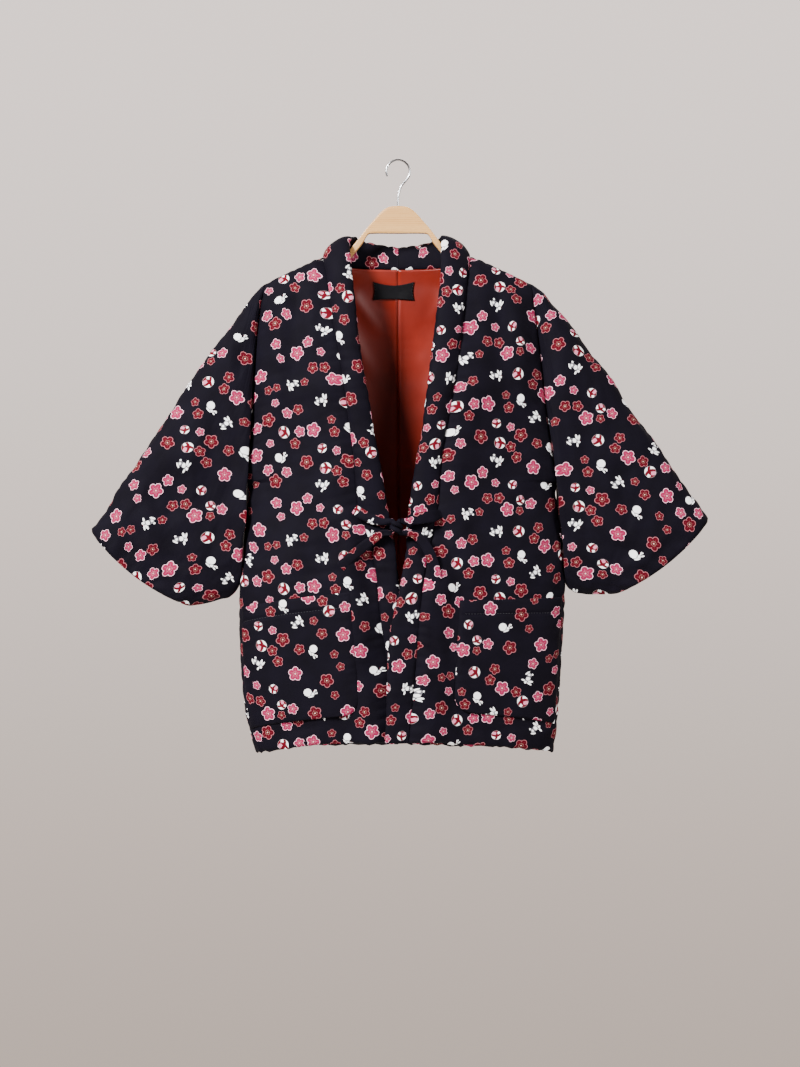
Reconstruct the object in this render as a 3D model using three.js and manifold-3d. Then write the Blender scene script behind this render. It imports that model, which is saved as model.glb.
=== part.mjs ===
// A padded hanten jacket hanging on a wooden hanger. Millimetres, +Z up, the front faces -Y.
// The origin is the inside of the hook's bend. Right and left are the wearer's; left is +X.
import * as THREE from 'three';
import { mergeVertices } from 'three/addons/utils/BufferGeometryUtils.js';
import Module from 'manifold-3d';

const seamGap = 0.3;
const padding = 8;
const liningThickness = 2;
const sides = { right: -1, left: 1 };
const faces = { front: -1, back: 1 };

const cloth = { color: 0x211e26, roughness: 0.85, metalness: 0 };
const satin = { color: 0xa3301f, roughness: 0.5, metalness: 0 };
const labelCloth = { color: 0x101013, roughness: 0.8, metalness: 0 };
const paleWood = { color: 0xd7b78b, roughness: 0.45, metalness: 0 };
const steel = { color: 0xb9bbbd, roughness: 0.25, metalness: 1 };

// Half widths of the body on the wearer's two sides, and how deep its front and back hang.
const bodyRows = [
  { z: -189, right: 205, left: 205, front: 58, back: 58 },
  { z: -232, right: 213, left: 211, front: 58, back: 58 },
  { z: -303, right: 221, left: 220, front: 58, back: 58 },
  { z: -384, right: 225, left: 229, front: 58, back: 58 },
  { z: -464, right: 231, left: 241, front: 58, back: 59 },
  { z: -545, right: 237, left: 251, front: 59, back: 60 },
  { z: -600, right: 241, left: 257, front: 60, back: 61 },
  { z: -669, right: 247, left: 260, front: 61, back: 62 },
  { z: -762, right: 246, left: 255, front: 60, back: 62 },
  { z: -847, right: 239, left: 250, front: 57, back: 60 },
  { z: -889, right: 230, left: 246, front: 55, back: 58 },
  { z: -917, right: 221, left: 242, front: 54, back: 57 },
];
const shoulderRows = [
  { x: 0, z: -132 },
  { x: 60, z: -137 },
  { x: 116, z: -148 },
  { x: 147, z: -161 },
  { x: 180, z: -176 },
  { x: 205, z: -189 },
];
const shoulderEnd = { x: 205, z: -189 };
const shoulderFall = 200;
const sectionPower = 2.4;
const neckHalf = { right: 116, left: 111 };
// The back neck seam, by its part of the half width of the neck.
const neckRows = [
  { part: 0, z: -167 },
  { part: 0.4, z: -166.5 },
  { part: 0.74, z: -163 },
  { part: 0.9, z: -157 },
  { part: 1, z: -148 },
];
const hemLine = { side: -917, front: -898, back: -909 };

// The sleeve joins the body on this upright loop, which both share.
const armhole = { top: -189, low: -500, half: 17, round: 17, samples: 12, fade: 30, gap: 0.5 };
// Below the armhole the body's side turns from open to round over this stretch.
const sideTurn = { top: -430, low: -690 };
const sleeveRound = 14;
// Top and low points of the sleeve's sections, from the armhole to the cuff. "lead" moves the
// inner skin outwards where the section drops beside the body, "clear" is its distance to the
// body's side, and "bow" rounds the open cuff.
const sleeveRows = {
  right: [
    { topX: 222, topZ: -205, lowX: 236, lowZ: -585, half: 20, back: 2, lead: 7, clear: 2.2, bow: 0 },
    { topX: 240, topZ: -229, lowX: 247, lowZ: -655, half: 24, back: 4, lead: 7, clear: 1.3, bow: 0 },
    { topX: 268, topZ: -268, lowX: 262, lowZ: -676, half: 27, back: 6, lead: 4, clear: 1.3, bow: 0 },
    { topX: 303, topZ: -314, lowX: 276, lowZ: -680, half: 28, back: 7, lead: 1, clear: 1.3, bow: 0 },
    { topX: 348, topZ: -381, lowX: 288, lowZ: -684, half: 28, back: 7, lead: 0, clear: 1.3, bow: 2 },
    { topX: 394, topZ: -450, lowX: 300, lowZ: -687, half: 27, back: 7, lead: 0, clear: 1.3, bow: 5 },
    { topX: 437, topZ: -512, lowX: 312, lowZ: -689, half: 26, back: 6, lead: 0, clear: 1.3, bow: 9 },
    { topX: 478, topZ: -573, lowX: 328, lowZ: -690, half: 24, back: 5, lead: 0, clear: 1.3, bow: 13 },
  ],
  left: [
    { topX: 224, topZ: -203, lowX: 254, lowZ: -585, half: 19, back: 2, lead: 7, clear: 2.2, bow: 0 },
    { topX: 243, topZ: -225, lowX: 260, lowZ: -652, half: 24, back: 4, lead: 7, clear: 1.3, bow: 0 },
    { topX: 276, topZ: -265, lowX: 274, lowZ: -668, half: 27, back: 6, lead: 4, clear: 1.3, bow: 0 },
    { topX: 313, topZ: -313, lowX: 288, lowZ: -671, half: 28, back: 7, lead: 1, clear: 1.3, bow: 0 },
    { topX: 360, topZ: -380, lowX: 299, lowZ: -672, half: 28, back: 7, lead: 0, clear: 1.3, bow: 2 },
    { topX: 407, topZ: -447, lowX: 311, lowZ: -672, half: 27, back: 7, lead: 0, clear: 1.3, bow: 5 },
    { topX: 450, topZ: -509, lowX: 325, lowZ: -672, half: 26, back: 6, lead: 0, clear: 1.3, bow: 8 },
    { topX: 483, topZ: -557, lowX: 343, lowZ: -671, half: 24, back: 5, lead: 0, clear: 1.3, bow: 11 },
  ],
};

// The collar band: its seam to the front and its free edge, measured from the middle towards
// its own side, so a negative value lies past the middle.
const collarThickness = 11;
const collarGap = 0.6;
const collarRows = [
  { z: -148, seamRight: 116, edgeRight: 74, seamLeft: 111, edgeLeft: 67 },
  { z: -190, seamRight: 109, edgeRight: 71, seamLeft: 107, edgeLeft: 66 },
  { z: -260, seamRight: 99, edgeRight: 62, seamLeft: 100, edgeLeft: 56 },
  { z: -320, seamRight: 88, edgeRight: 53, seamLeft: 92, edgeLeft: 48 },
  { z: -400, seamRight: 77, edgeRight: 40, seamLeft: 78, edgeLeft: 39 },
  { z: -460, seamRight: 69, edgeRight: 29, seamLeft: 68, edgeLeft: 29 },
  { z: -540, seamRight: 61, edgeRight: 15, seamLeft: 61, edgeLeft: 16 },
  { z: -590, seamRight: 44, edgeRight: 6, seamLeft: 51, edgeLeft: 13 },
  { z: -650, seamRight: 33, edgeRight: -1, seamLeft: 40, edgeLeft: 5 },
  { z: -715, seamRight: 27, edgeRight: -13, seamLeft: 33, edgeLeft: -10 },
  { z: -770, seamRight: 18, edgeRight: -22, seamLeft: 29, edgeLeft: -16 },
  { z: -910, seamRight: 12, edgeRight: -28, seamLeft: 15, edgeLeft: -20 },
];
// How far the free edge rises above the seam beside it, and stands forward of it.
const collarRise = [
  { z: -320, rise: 0, stand: 3 },
  { z: -240, rise: 4, stand: 4 },
  { z: -190, rise: 12, stand: 7 },
  { z: -160, rise: 22, stand: 9 },
  { z: -148, rise: 27, stand: 6 },
];
// The free edge round the back of the neck, from the shoulder (0) to the centre back (1).
const collarBackRows = [
  { part: 0, x: 68, y: 4, z: -117 },
  { part: 0.25, x: 64, y: 20, z: -118 },
  { part: 0.55, x: 44, y: 35, z: -124 },
  { part: 1, x: 0, y: 42, z: -131 },
];
// The wearer's left front laps over the right one below the tie.
const lap = { depth: 16, top: -560, full: -670, spread: 110 };

// Large soft folds: a line on one face, its width, and how far it stands out (+) or in (-).
const foldRows = [
  { side: 'right', face: 'front', x1: 52, z1: -575, x2: 30, z2: -790, width: 15, out: -5 },
  { side: 'right', face: 'front', x1: 80, z1: -560, x2: 58, z2: -770, width: 18, out: 4 },
  { side: 'left', face: 'front', x1: 62, z1: -560, x2: 102, z2: -680, width: 14, out: -5 },
  { side: 'left', face: 'front', x1: 45, z1: -620, x2: 52, z2: -850, width: 16, out: 4 },
  { side: 'left', face: 'back', x1: 150, z1: -230, x2: 120, z2: -760, width: 34, out: -5 },
  { side: 'right', face: 'back', x1: 150, z1: -230, x2: 125, z2: -760, width: 34, out: -5 },
  { side: 'left', face: 'back', x1: 40, z1: -260, x2: 60, z2: -820, width: 40, out: 5 },
  { side: 'right', face: 'back', x1: 50, z1: -300, x2: 60, z2: -850, width: 40, out: 4 },
];

const pocketThickness = 6;
const pocketStandoff = 1;
const pocketCorner = 30;
const pockets = {
  right: {
    topInner: -667, topOuter: -694, lowInner: -858, lowOuter: -880, innerTop: 71, innerLow: 57,
  },
  left: {
    topInner: -680, topOuter: -676, lowInner: -853, lowOuter: -872, innerTop: 94, innerLow: 85,
  },
};
const pocketSpan = { rows: 9, columns: 9, outer: 0.85 };

const label = { x1: -36, x2: 26, z1: -188, z2: -214, thickness: 1, sag: 3, standoff: 1.4 };

// Ties, from the collar seam to the knot and from the knot to the free end. "lift" is the
// distance of the strap's middle in front of the body.
const tieRows = {
  right: {
    strap: [
      { x: -70, z: -541, lift: 3.2, wide: 15, thick: 4 },
      { x: -56, z: -548, lift: 9, wide: 16, thick: 4 },
      { x: -40, z: -556, lift: 12, wide: 15, thick: 4.5 },
      { x: -24, z: -560, lift: 15, wide: 11, thick: 5.5 },
    ],
    tail: [
      { x: -22, z: -577, lift: 15, wide: 10, thick: 5.5 },
      { x: -38, z: -587, lift: 13, wide: 14, thick: 4.5 },
      { x: -60, z: -604, lift: 9, wide: 16, thick: 4 },
      { x: -88, z: -629, lift: 3.4, wide: 16, thick: 4 },
    ],
  },
  left: {
    strap: [
      { x: 66, z: -548, lift: 3.2, wide: 16, thick: 4 },
      { x: 52, z: -552, lift: 10, wide: 18, thick: 4 },
      { x: 33, z: -555, lift: 14, wide: 18, thick: 5 },
      { x: 16, z: -560, lift: 16, wide: 11, thick: 5.5 },
    ],
    tail: [
      { x: 17, z: -577, lift: 16, wide: 11, thick: 5.5 },
      { x: 33, z: -585, lift: 15, wide: 15, thick: 4.5 },
      { x: 50, z: -612, lift: 11, wide: 16, thick: 4 },
      { x: 61, z: -657, lift: 3.6, wide: 16, thick: 4 },
    ],
  },
};
const knot = { x: -3, z: -568, lift: 19, radius: 6, drop: 18, wide: 7.5, thick: 7, steps: 8 };

// Hanger outline in the XZ plane, for x >= 0; the hidden arms follow the shoulders.
const hangerThickness = 12;
const hangerBevel = 2.5;
const hangerArch = [[0, -70], [15, -72], [27, -80], [38, -92.5], [49, -105], [60, -119.5], [71, -133]];
const hangerArm = { from: 94, to: 186, pieces: 4, seat: 3.1, height: 11.5 };
const hangerLower = [[66, -142], [55, -128], [47, -115], [40, -113], [0, -113]];
const hook = { wire: 1.75, inner: 16.5, root: -92, stem: -54, from: -45, to: 205, clearance: 0.4 };

const wasm = await Module();
wasm.setup();

const lerp = THREE.MathUtils.lerp;
const clamp = THREE.MathUtils.clamp;
const smooth = (low, high, value) => THREE.MathUtils.smoothstep(value, low, high);
const steps = (from, to, count) => Array.from({ length: count + 1 }, (_, i) => lerp(from, to, i / count));

// A smooth curve through a table's rows, level past its ends.
function curveOf(rows, key, column) {
  const sorted = [...rows].sort((a, b) => a[key] - b[key]);
  const at = sorted.map((row) => row[key]);
  const value = sorted.map((row) => row[column]);
  const slope = (i) => {
    const low = Math.max(i - 1, 0);
    const high = Math.min(i + 1, at.length - 1);
    return (value[high] - value[low]) / (at[high] - at[low]);
  };
  return (position) => {
    const x = clamp(position, at[0], at[at.length - 1]);
    const i = clamp(at.findIndex((mark) => mark > x) - 1, 0, at.length - 2);
    const k = x >= at[at.length - 1] ? at.length - 2 : i;
    const span = at[k + 1] - at[k];
    const t = (x - at[k]) / span;
    const t2 = t * t;
    const t3 = t2 * t;
    return (2 * t3 - 3 * t2 + 1) * value[k] + (t3 - 2 * t2 + t) * span * slope(k)
      + (3 * t2 - 2 * t3) * value[k + 1] + (t3 - t2) * span * slope(k + 1);
  };
}

const shoulderLine = curveOf(shoulderRows, 'x', 'z');
const neckLine = curveOf(neckRows, 'part', 'z');
const halfWidth = { right: curveOf(bodyRows, 'z', 'right'), left: curveOf(bodyRows, 'z', 'left') };
const fullDepth = { front: curveOf(bodyRows, 'z', 'front'), back: curveOf(bodyRows, 'z', 'back') };
const collarSeam = {
  right: curveOf(collarRows, 'z', 'seamRight'),
  left: curveOf(collarRows, 'z', 'seamLeft'),
};
const collarEdge = {
  right: curveOf(collarRows, 'z', 'edgeRight'),
  left: curveOf(collarRows, 'z', 'edgeLeft'),
};

// Half the width of a long rounded loop, at a place from -1 to 1 along its length.
function loopHalf(place, length, half, round) {
  const power = Math.max((round * length) / (half * half), 2);
  return half * Math.sqrt(Math.max(1 - Math.abs(place) ** power, 0));
}

const armholeHalf = (armhole.top - armhole.low) / 2;
const armholeMiddle = (armhole.top + armhole.low) / 2;

// Half width of the armhole's loop at a height; above the shoulder seam of x it follows the seam.
function armholeGap(x, z, inset) {
  const top = shoulderLine(x) - inset;
  const length = top - armhole.low - inset;
  const place = 1 - (2 * (top - z)) / length;
  if (Math.abs(place) >= 1) {
    return 0;
  }
  return loopHalf(place, length, armhole.half - inset, armhole.round - inset);
}

// Distance to a fold's line, as a part of its width, gives its soft height.
function foldHeight(side, face, x, z) {
  let height = 0;
  for (const fold of foldRows) {
    if (fold.side === side && fold.face === face) {
      const alongX = fold.x2 - fold.x1;
      const alongZ = fold.z2 - fold.z1;
      const length2 = alongX * alongX + alongZ * alongZ;
      const t = ((x - fold.x1) * alongX + (z - fold.z1) * alongZ) / length2;
      const near = clamp(t, 0, 1);
      const away = Math.hypot(x - fold.x1 - near * alongX, z - fold.z1 - near * alongZ);
      const ends = Math.sin(Math.PI * clamp(t * 0.8 + 0.1, 0, 1));
      height += fold.out * ends * Math.exp(-((away / fold.width) ** 2));
    }
  }
  return height;
}

const openness = (z) => smooth(armhole.low - armhole.fade, armhole.low, z);
const reachAt = (side, z, inset) => halfWidth[side](z) - inset * (1 - openness(z));

// Half depth of the body at x (0 or more, towards one side) and z, and "inset" inside it.
function bodyDepth(side, face, x, z, inset) {
  const fall = shoulderLine(x) - inset - z;
  const drop = clamp(fall / (shoulderFall - inset), 0, 1);
  const swell = Math.sqrt(1 - (1 - drop) ** 2);
  const power = lerp(0.5, 1, smooth(sideTurn.low, sideTurn.top, z));
  const part = clamp(x / reachAt(side, z, inset), 0, 1);
  const across = (1 - part ** sectionPower) ** power;
  const local = lerp(4, 1, smooth(armhole.low, armholeMiddle, z));
  const hole = armholeGap(x, z, inset) * (1 - across) ** local;
  const full = (fullDepth[face](z) - inset) * swell * across;
  let extra = foldHeight(side, face, x, z);
  if (side === 'left' && face === 'front') {
    extra += lap.depth * (1 - smooth(lap.full, lap.top, z)) * Math.exp(-((x / lap.spread) ** 2));
  }
  return hole + full + extra * across * Math.min(swell * 1.5, 1);
}

function bodyPoint(side, face, x, z, inset) {
  const depth = bodyDepth(side, face, Math.max(x, 0), z, inset);
  return new THREE.Vector3(sides[side] * x, faces[face] * (depth + seamGap / 2), z);
}

// A point moved out from the body's outer skin, square to it.
function raisedPoint(side, face, x, z, distance, inset = 0) {
  const step = 2;
  const here = bodyPoint(side, face, x, z, inset);
  const acrossX = bodyPoint(side, face, x - step, z, inset).sub(here);
  const downZ = bodyPoint(side, face, x, z - step, inset).sub(here);
  const normal = acrossX.cross(downZ).normalize();
  if (normal.y * faces[face] < 0) {
    normal.negate();
  }
  return here.addScaledVector(normal, distance);
}

// Closed solid from rings of points. Ring ends are capped between mirrored points, or the last
// ring joins the first one.
function skin(rings, joined) {
  const points = rings.flat();
  const size = rings[0].length;
  const triangles = [];
  const quad = (a, b, c, d) => triangles.push(a, b, c, a, c, d);
  const mirroredQuad = (a, b, c, d) => triangles.push(a, b, d, b, c, d);
  const last = joined ? rings.length : rings.length - 1;
  for (let i = 0; i < last; i += 1) {
    const here = i * size;
    const next = ((i + 1) % rings.length) * size;
    for (let j = 0; j < size; j += 1) {
      const k = (j + 1) % size;
      const fill = !joined && j >= size / 2 ? mirroredQuad : quad;
      fill(here + j, here + k, next + k, next + j);
    }
  }
  if (!joined) {
    const end = (rings.length - 1) * size;
    for (let j = 0; j < size / 2 - 1; j += 1) {
      quad(j, size - 1 - j, size - 2 - j, j + 1);
      quad(end + j, end + j + 1, end + size - 2 - j, end + size - 1 - j);
    }
  }
  const geometry = new THREE.BufferGeometry().setFromPoints(points);
  geometry.setIndex(triangles);
  if (signedVolume(points, triangles) < 0) {
    geometry.index.array.reverse();
  }
  return geometry;
}

function signedVolume(points, triangles) {
  let volume = 0;
  for (let i = 0; i < triangles.length; i += 3) {
    const [a, b, c] = [0, 1, 2].map((j) => points[triangles[i + j]]);
    volume += a.dot(b.clone().cross(c));
  }
  return volume;
}

// A wall between two grids of points with the same rows and columns.
function wall(outer, inner) {
  return skin(outer.map((row, i) => [...row, ...[...inner[i]].reverse()]), false);
}

// Rows of heights at the side edge: the armhole's samples, then even steps to the hem.
const rowsBelow = 12;

function sideHeights(inset) {
  const heights = steps(0, Math.PI, armhole.samples).map(
    (angle) => armholeMiddle + (armholeHalf - inset) * Math.cos(angle),
  );
  return [...heights, ...steps(armhole.low, hemLine.side, rowsBelow).slice(1)];
}

const arcPart = (x, reach) => (2 / Math.PI) * Math.asin(clamp(x / reach, -1, 1));
const arcAcross = (part, reach) => reach * Math.sin((Math.PI / 2) * part);

const shoulderColumns = 9;
const neckColumns = 6;

function panelColumns(side, face) {
  if (face === 'front') {
    return steps(0, 1, shoulderColumns);
  }
  const corner = arcPart(neckHalf[side], shoulderEnd.x);
  return [...steps(0, corner, neckColumns), ...steps(corner, 1, shoulderColumns).slice(1)];
}

// Top edge of a panel: the shoulder seam, and the neck seam in the middle of the back.
function topHeight(side, face, x, inset) {
  const shoulder = shoulderLine(x) - inset;
  if (face === 'back' && x < neckHalf[side]) {
    return Math.min(neckLine(x / neckHalf[side]), shoulder);
  }
  return shoulder;
}

function hemHeight(side, face, x) {
  const part = clamp(x / halfWidth[side](hemLine.side), 0, 1);
  return lerp(hemLine[face], hemLine.side, part * part);
}

// The x of a panel's column at a height: equal arcs from its inner edge to the side.
function columnX(side, face, column, z, inset) {
  const reach = reachAt(side, z, inset);
  const start = face === 'front' ? arcPart(collarSeam[side](z), reach) : 0;
  return arcAcross(lerp(start, 1, column), reach);
}

function panelPlace(side, face, column, height, inset) {
  const start = face === 'front' ? arcPart(neckHalf[side], shoulderEnd.x) : 0;
  const topX = arcAcross(lerp(start, 1, column), shoulderEnd.x);
  const top = topHeight(side, face, topX, inset);
  const low = hemHeight(side, face, columnX(side, face, column, hemLine.side, inset));
  const sideTop = shoulderEnd.z - inset;
  const z = lerp(top, low, (height - sideTop) / (hemLine.side - sideTop));
  return { x: columnX(side, face, column, z, inset), z };
}

function panelGrid(side, face, inset) {
  const columns = panelColumns(side, face);
  return sideHeights(inset).map((height) => columns.map((column) => {
    const { x, z } = panelPlace(side, face, column, height, inset);
    return bodyPoint(side, face, x, z, inset);
  }));
}

function panel(side, face) {
  return wall(panelGrid(side, face, 0), panelGrid(side, face, padding));
}

// One ring of the sleeve: down its front side and up its back side.
function sleeveRing(side, row, inset) {
  const count = 2 * armhole.samples;
  return Array.from({ length: count }, (_, k) => {
    const angle = (2 * Math.PI * k) / count;
    const place = Math.cos(angle);
    const towards = Math.sin(angle) >= 0 ? -1 : 1;
    if (!row) {
      const z = armholeMiddle + (armholeHalf - inset) * place;
      const x = halfWidth[side](z);
      const half = k % armhole.samples === 0 ? 0 : armholeGap(x, z, inset);
      return new THREE.Vector3(sides[side] * (x + armhole.gap), towards * half, z);
    }
    const top = new THREE.Vector2(row.topX, row.topZ);
    const low = new THREE.Vector2(row.lowX, row.lowZ);
    const length = top.distanceTo(low);
    const along = top.clone().sub(low).normalize();
    const middle = top.clone().add(low).multiplyScalar(0.5);
    const reach = length / 2 - inset;
    const spot = middle.addScaledVector(along, reach * place);
    spot.x += along.y * row.bow * (1 - place * place);
    spot.y -= along.x * row.bow * (1 - place * place);
    spot.x = Math.max(spot.x, halfWidth[side](spot.y) + row.clear);
    spot.x += inset > 0 ? row.lead : 0;
    const open = loopHalf(place, 2 * reach, row.half - inset, sleeveRound - inset);
    const half = k % armhole.samples === 0 ? 0 : open;
    return new THREE.Vector3(sides[side] * spot.x, row.back + towards * half, spot.y);
  });
}

function sleeve(side) {
  const rows = [null, ...sleeveRows[side]];
  const outer = rows.map((row) => sleeveRing(side, row, 0));
  const inner = rows.map((row) => sleeveRing(side, row, padding)).reverse();
  return skin([...outer, ...inner], true);
}

// The collar's path: up the front's edge, then along the back's neck seam to the centre.
function collarPath(side) {
  const rise = curveOf(collarRise, 'z', 'rise');
  const stand = curveOf(collarRise, 'z', 'stand');
  const backEdge = ['x', 'y', 'z'].map((axis) => curveOf(collarBackRows, 'part', axis));
  const skinDepth = (face, x, z, inset) => bodyDepth(side, face, x, z, inset);
  const middleDepth = (face, x, z) => (skinDepth(face, x, z, 0) + skinDepth(face, x, z, padding)) / 2;
  const path = [];
  for (const height of sideHeights(0).reverse()) {
    const { x, z } = panelPlace(side, 'front', 0, height, 0);
    const depth = middleDepth('front', x, z);
    const seam = new THREE.Vector3(x - collarGap, -depth, z);
    const edgeX = collarEdge[side](z);
    const edge = new THREE.Vector3(edgeX, -depth - stand(z), z + rise(z));
    path.push({ seam, edge });
  }
  const columns = panelColumns(side, 'back').slice(0, neckColumns + 1).reverse();
  columns.forEach((column, i) => {
    const { x, z } = panelPlace(side, 'back', column, shoulderEnd.z, 0);
    const part = i / neckColumns;
    const depth = middleDepth('back', x, z);
    const seam = new THREE.Vector3(Math.max(x, seamGap / 2), Math.max(depth, 2), z + seamGap);
    const edge = new THREE.Vector3(...backEdge.map((axis) => axis(part)));
    edge.x = Math.max(edge.x, seamGap / 2);
    if (i > 0) {
      path.push({ seam, edge });
    }
  });
  for (const row of path) {
    row.seam.x *= sides[side];
    row.edge.x *= sides[side];
  }
  return path;
}

// A rounded flat section: across from the seam to the edge, on both sides of the middle.
function bandRing(seam, edge, forward, thickness) {
  const across = edge.clone().sub(seam);
  const width = across.length();
  const outward = across.clone().normalize().cross(forward).normalize();
  const count = 7;
  const half = thickness / 2;
  const place = (k) => -Math.cos((Math.PI * (k + 0.5)) / count);
  const point = (k, towards) => seam.clone()
    .addScaledVector(across, (1 + place(k)) / 2)
    .addScaledVector(outward, towards * loopHalf(place(k), width, half, half));
  const ks = Array.from({ length: count }, (_, k) => k);
  return [...ks.map((k) => point(k, 1)), ...ks.reverse().map((k) => point(k, -1))];
}

function collar(side) {
  const path = collarPath(side);
  const middle = path.map(({ seam, edge }) => seam.clone().lerp(edge, 0.3));
  const rings = path.map(({ seam, edge }, i) => {
    const from = middle[Math.max(i - 1, 0)];
    const to = middle[Math.min(i + 1, path.length - 1)];
    const forward = to.clone().sub(from).normalize();
    if (i === path.length - 1) {
      forward.set(-sides[side], 0, 0);
    }
    return bandRing(seam, edge, forward, collarThickness);
  });
  return skin(rings, false);
}

function pocket(side) {
  const size = pockets[side];
  const grid = (distance) => steps(0, 1, pocketSpan.rows).map((turn) => {
    const down = Math.sin((Math.PI / 2) * turn);
    const inner = lerp(size.innerTop, size.innerLow, down);
    const tall = Math.abs(size.lowInner - size.topInner);
    const below = clamp((down - 1) * tall + pocketCorner, 0, pocketCorner);
    const cut = pocketCorner - Math.sqrt(pocketCorner ** 2 - below ** 2);
    return steps(0, 1, pocketSpan.columns).map((column) => {
      const top = lerp(size.topInner, size.topOuter, column);
      const z = lerp(top, lerp(size.lowInner, size.lowOuter, column), down);
      const reach = halfWidth[side](z);
      const part = lerp(arcPart(inner + cut, reach), pocketSpan.outer, column);
      return raisedPoint(side, 'front', arcAcross(part, reach), z, distance);
    });
  });
  return wall(grid(pocketStandoff + pocketThickness), grid(pocketStandoff));
}

// The lining is the back panel's inner skin, moved in.
function lining(side) {
  const outerInset = padding + seamGap;
  return wall(panelGrid(side, 'back', outerInset), panelGrid(side, 'back', outerInset + liningThickness));
}

function neckLabel() {
  const backInset = padding + seamGap + liningThickness + label.standoff;
  const grid = (inset) => steps(0, 1, 3).map((down) => steps(0, 1, 8).map((across) => {
    const x = lerp(label.x1, label.x2, across);
    const side = x < 0 ? 'right' : 'left';
    const sag = label.sag * Math.sin(Math.PI * across) * (1 - down);
    return bodyPoint(side, 'back', Math.abs(x), lerp(label.z1, label.z2, down) - sag, inset).setX(x);
  }));
  return wall(grid(backInset), grid(backInset + label.thickness));
}

// A strap's path in front of the body: down the strap, through the knot, out to the free end.
function tiePath(side) {
  const place = (row) => {
    const near = row.x < 0 ? 'right' : 'left';
    const depth = bodyDepth(near, 'front', Math.abs(row.x), row.z, 0);
    const at = new THREE.Vector3(row.x, -depth - row.lift, row.z);
    return { at, wide: row.wide, thick: row.thick, outward: new THREE.Vector3(0, -1, 0) };
  };
  const start = side === 'right' ? Math.PI : 0;
  const centre = place(knot).at;
  const turns = steps(0, 1, knot.steps).map((t) => {
    const angle = start + 2 * Math.PI * t;
    const at = new THREE.Vector3(
      centre.x + knot.radius * Math.cos(angle),
      centre.y + knot.radius * Math.sin(angle),
      centre.z + knot.drop * (0.5 - t),
    );
    const outward = new THREE.Vector3(Math.cos(angle), Math.sin(angle), 0);
    return { at, wide: knot.wide, thick: knot.thick, outward };
  });
  return [...tieRows[side].strap.map(place), ...turns, ...tieRows[side].tail.map(place)];
}

function tie(side) {
  const rows = tiePath(side);
  const curve = new THREE.CatmullRomCurve3(rows.map((row) => row.at), false, 'centripetal');
  const count = 32;
  const rings = steps(0, 1, count).map((t) => {
    const at = curve.getPoint(t);
    const forward = curve.getTangent(t);
    const index = Math.min(Math.floor(t * (rows.length - 1)), rows.length - 2);
    const part = t * (rows.length - 1) - index;
    const wide = lerp(rows[index].wide, rows[index + 1].wide, part);
    const thick = lerp(rows[index].thick, rows[index + 1].thick, part);
    const outward = rows[index].outward.clone().lerp(rows[index + 1].outward, part);
    const across = outward.cross(forward).normalize().multiplyScalar(wide / 2);
    return bandRing(at.clone().sub(across), at.clone().add(across), forward, thick);
  });
  return skin(rings, false);
}

function hangerSolid() {
  const armXs = steps(hangerArm.from, hangerArm.to, hangerArm.pieces);
  const skinInset = padding + seamGap + liningThickness;
  const armTop = armXs.map((x) => [x, shoulderLine(x) - skinInset - hangerArm.seat]);
  const armLow = armXs.map((x, i) => [x - 5, armTop[i][1] - hangerArm.height]).reverse();
  const half = [...hangerArch, ...armTop, ...armLow, ...hangerLower];
  const mirrored = half.slice(1, -1).reverse().map(([x, z]) => [-x, z]);
  const outline = new THREE.Shape([...half, ...mirrored].map(([x, z]) => new THREE.Vector2(x, z)));
  const geometry = new THREE.ExtrudeGeometry(outline, {
    depth: hangerThickness - 2 * hangerBevel,
    bevelThickness: hangerBevel,
    bevelSize: hangerBevel,
    bevelOffset: -hangerBevel,
    bevelSegments: 2,
  });
  geometry.translate(0, 0, hangerBevel - hangerThickness / 2);
  geometry.rotateX(Math.PI / 2);
  const bore = new THREE.CylinderGeometry(hook.wire + hook.clearance, hook.wire + hook.clearance, 60, 12);
  bore.rotateX(Math.PI / 2);
  bore.translate(0, 0, hook.root - hook.clearance + 30);
  return fromSolid(toSolid(geometry).subtract(toSolid(bore)));
}

function toSolid(geometry) {
  const plain = geometry.clone();
  plain.deleteAttribute('normal');
  plain.deleteAttribute('uv');
  const merged = mergeVertices(plain);
  const mesh = new wasm.Mesh({
    numProp: 3,
    vertProperties: merged.attributes.position.array,
    triVerts: new Uint32Array(merged.index.array),
  });
  return new wasm.Manifold(mesh);
}

function fromSolid(solid) {
  const mesh = solid.getMesh();
  const geometry = new THREE.BufferGeometry();
  geometry.setAttribute('position', new THREE.BufferAttribute(new Float32Array(mesh.vertProperties), 3));
  geometry.setIndex(new THREE.BufferAttribute(new Uint32Array(mesh.triVerts), 1));
  return geometry;
}

function hookWire() {
  const radius = hook.inner + hook.wire;
  const bend = steps(hook.from, hook.to, 10).map((degrees) => {
    const angle = THREE.MathUtils.degToRad(degrees);
    return new THREE.Vector3(radius * Math.cos(angle), 0, -hook.inner + radius * Math.sin(angle));
  });
  const stem = [
    new THREE.Vector3(0, 0, hook.root),
    new THREE.Vector3(0, 0, (hook.root + hook.stem) / 2),
    new THREE.Vector3(0.5, 0, hook.stem),
    new THREE.Vector3(5, 0, -39),
  ];
  const section = new THREE.Shape();
  section.absarc(0, 0, hook.wire, 0, 2 * Math.PI);
  return new THREE.ExtrudeGeometry(section, {
    steps: 44,
    curveSegments: 4,
    extrudePath: new THREE.CatmullRomCurve3([...stem, ...bend]),
  });
}

const part = new THREE.Group();

function addMesh(name, geometry, look) {
  geometry.computeVertexNormals();
  const mesh = new THREE.Mesh(geometry, new THREE.MeshStandardMaterial(look));
  mesh.name = name;
  part.add(mesh);
}

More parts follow.
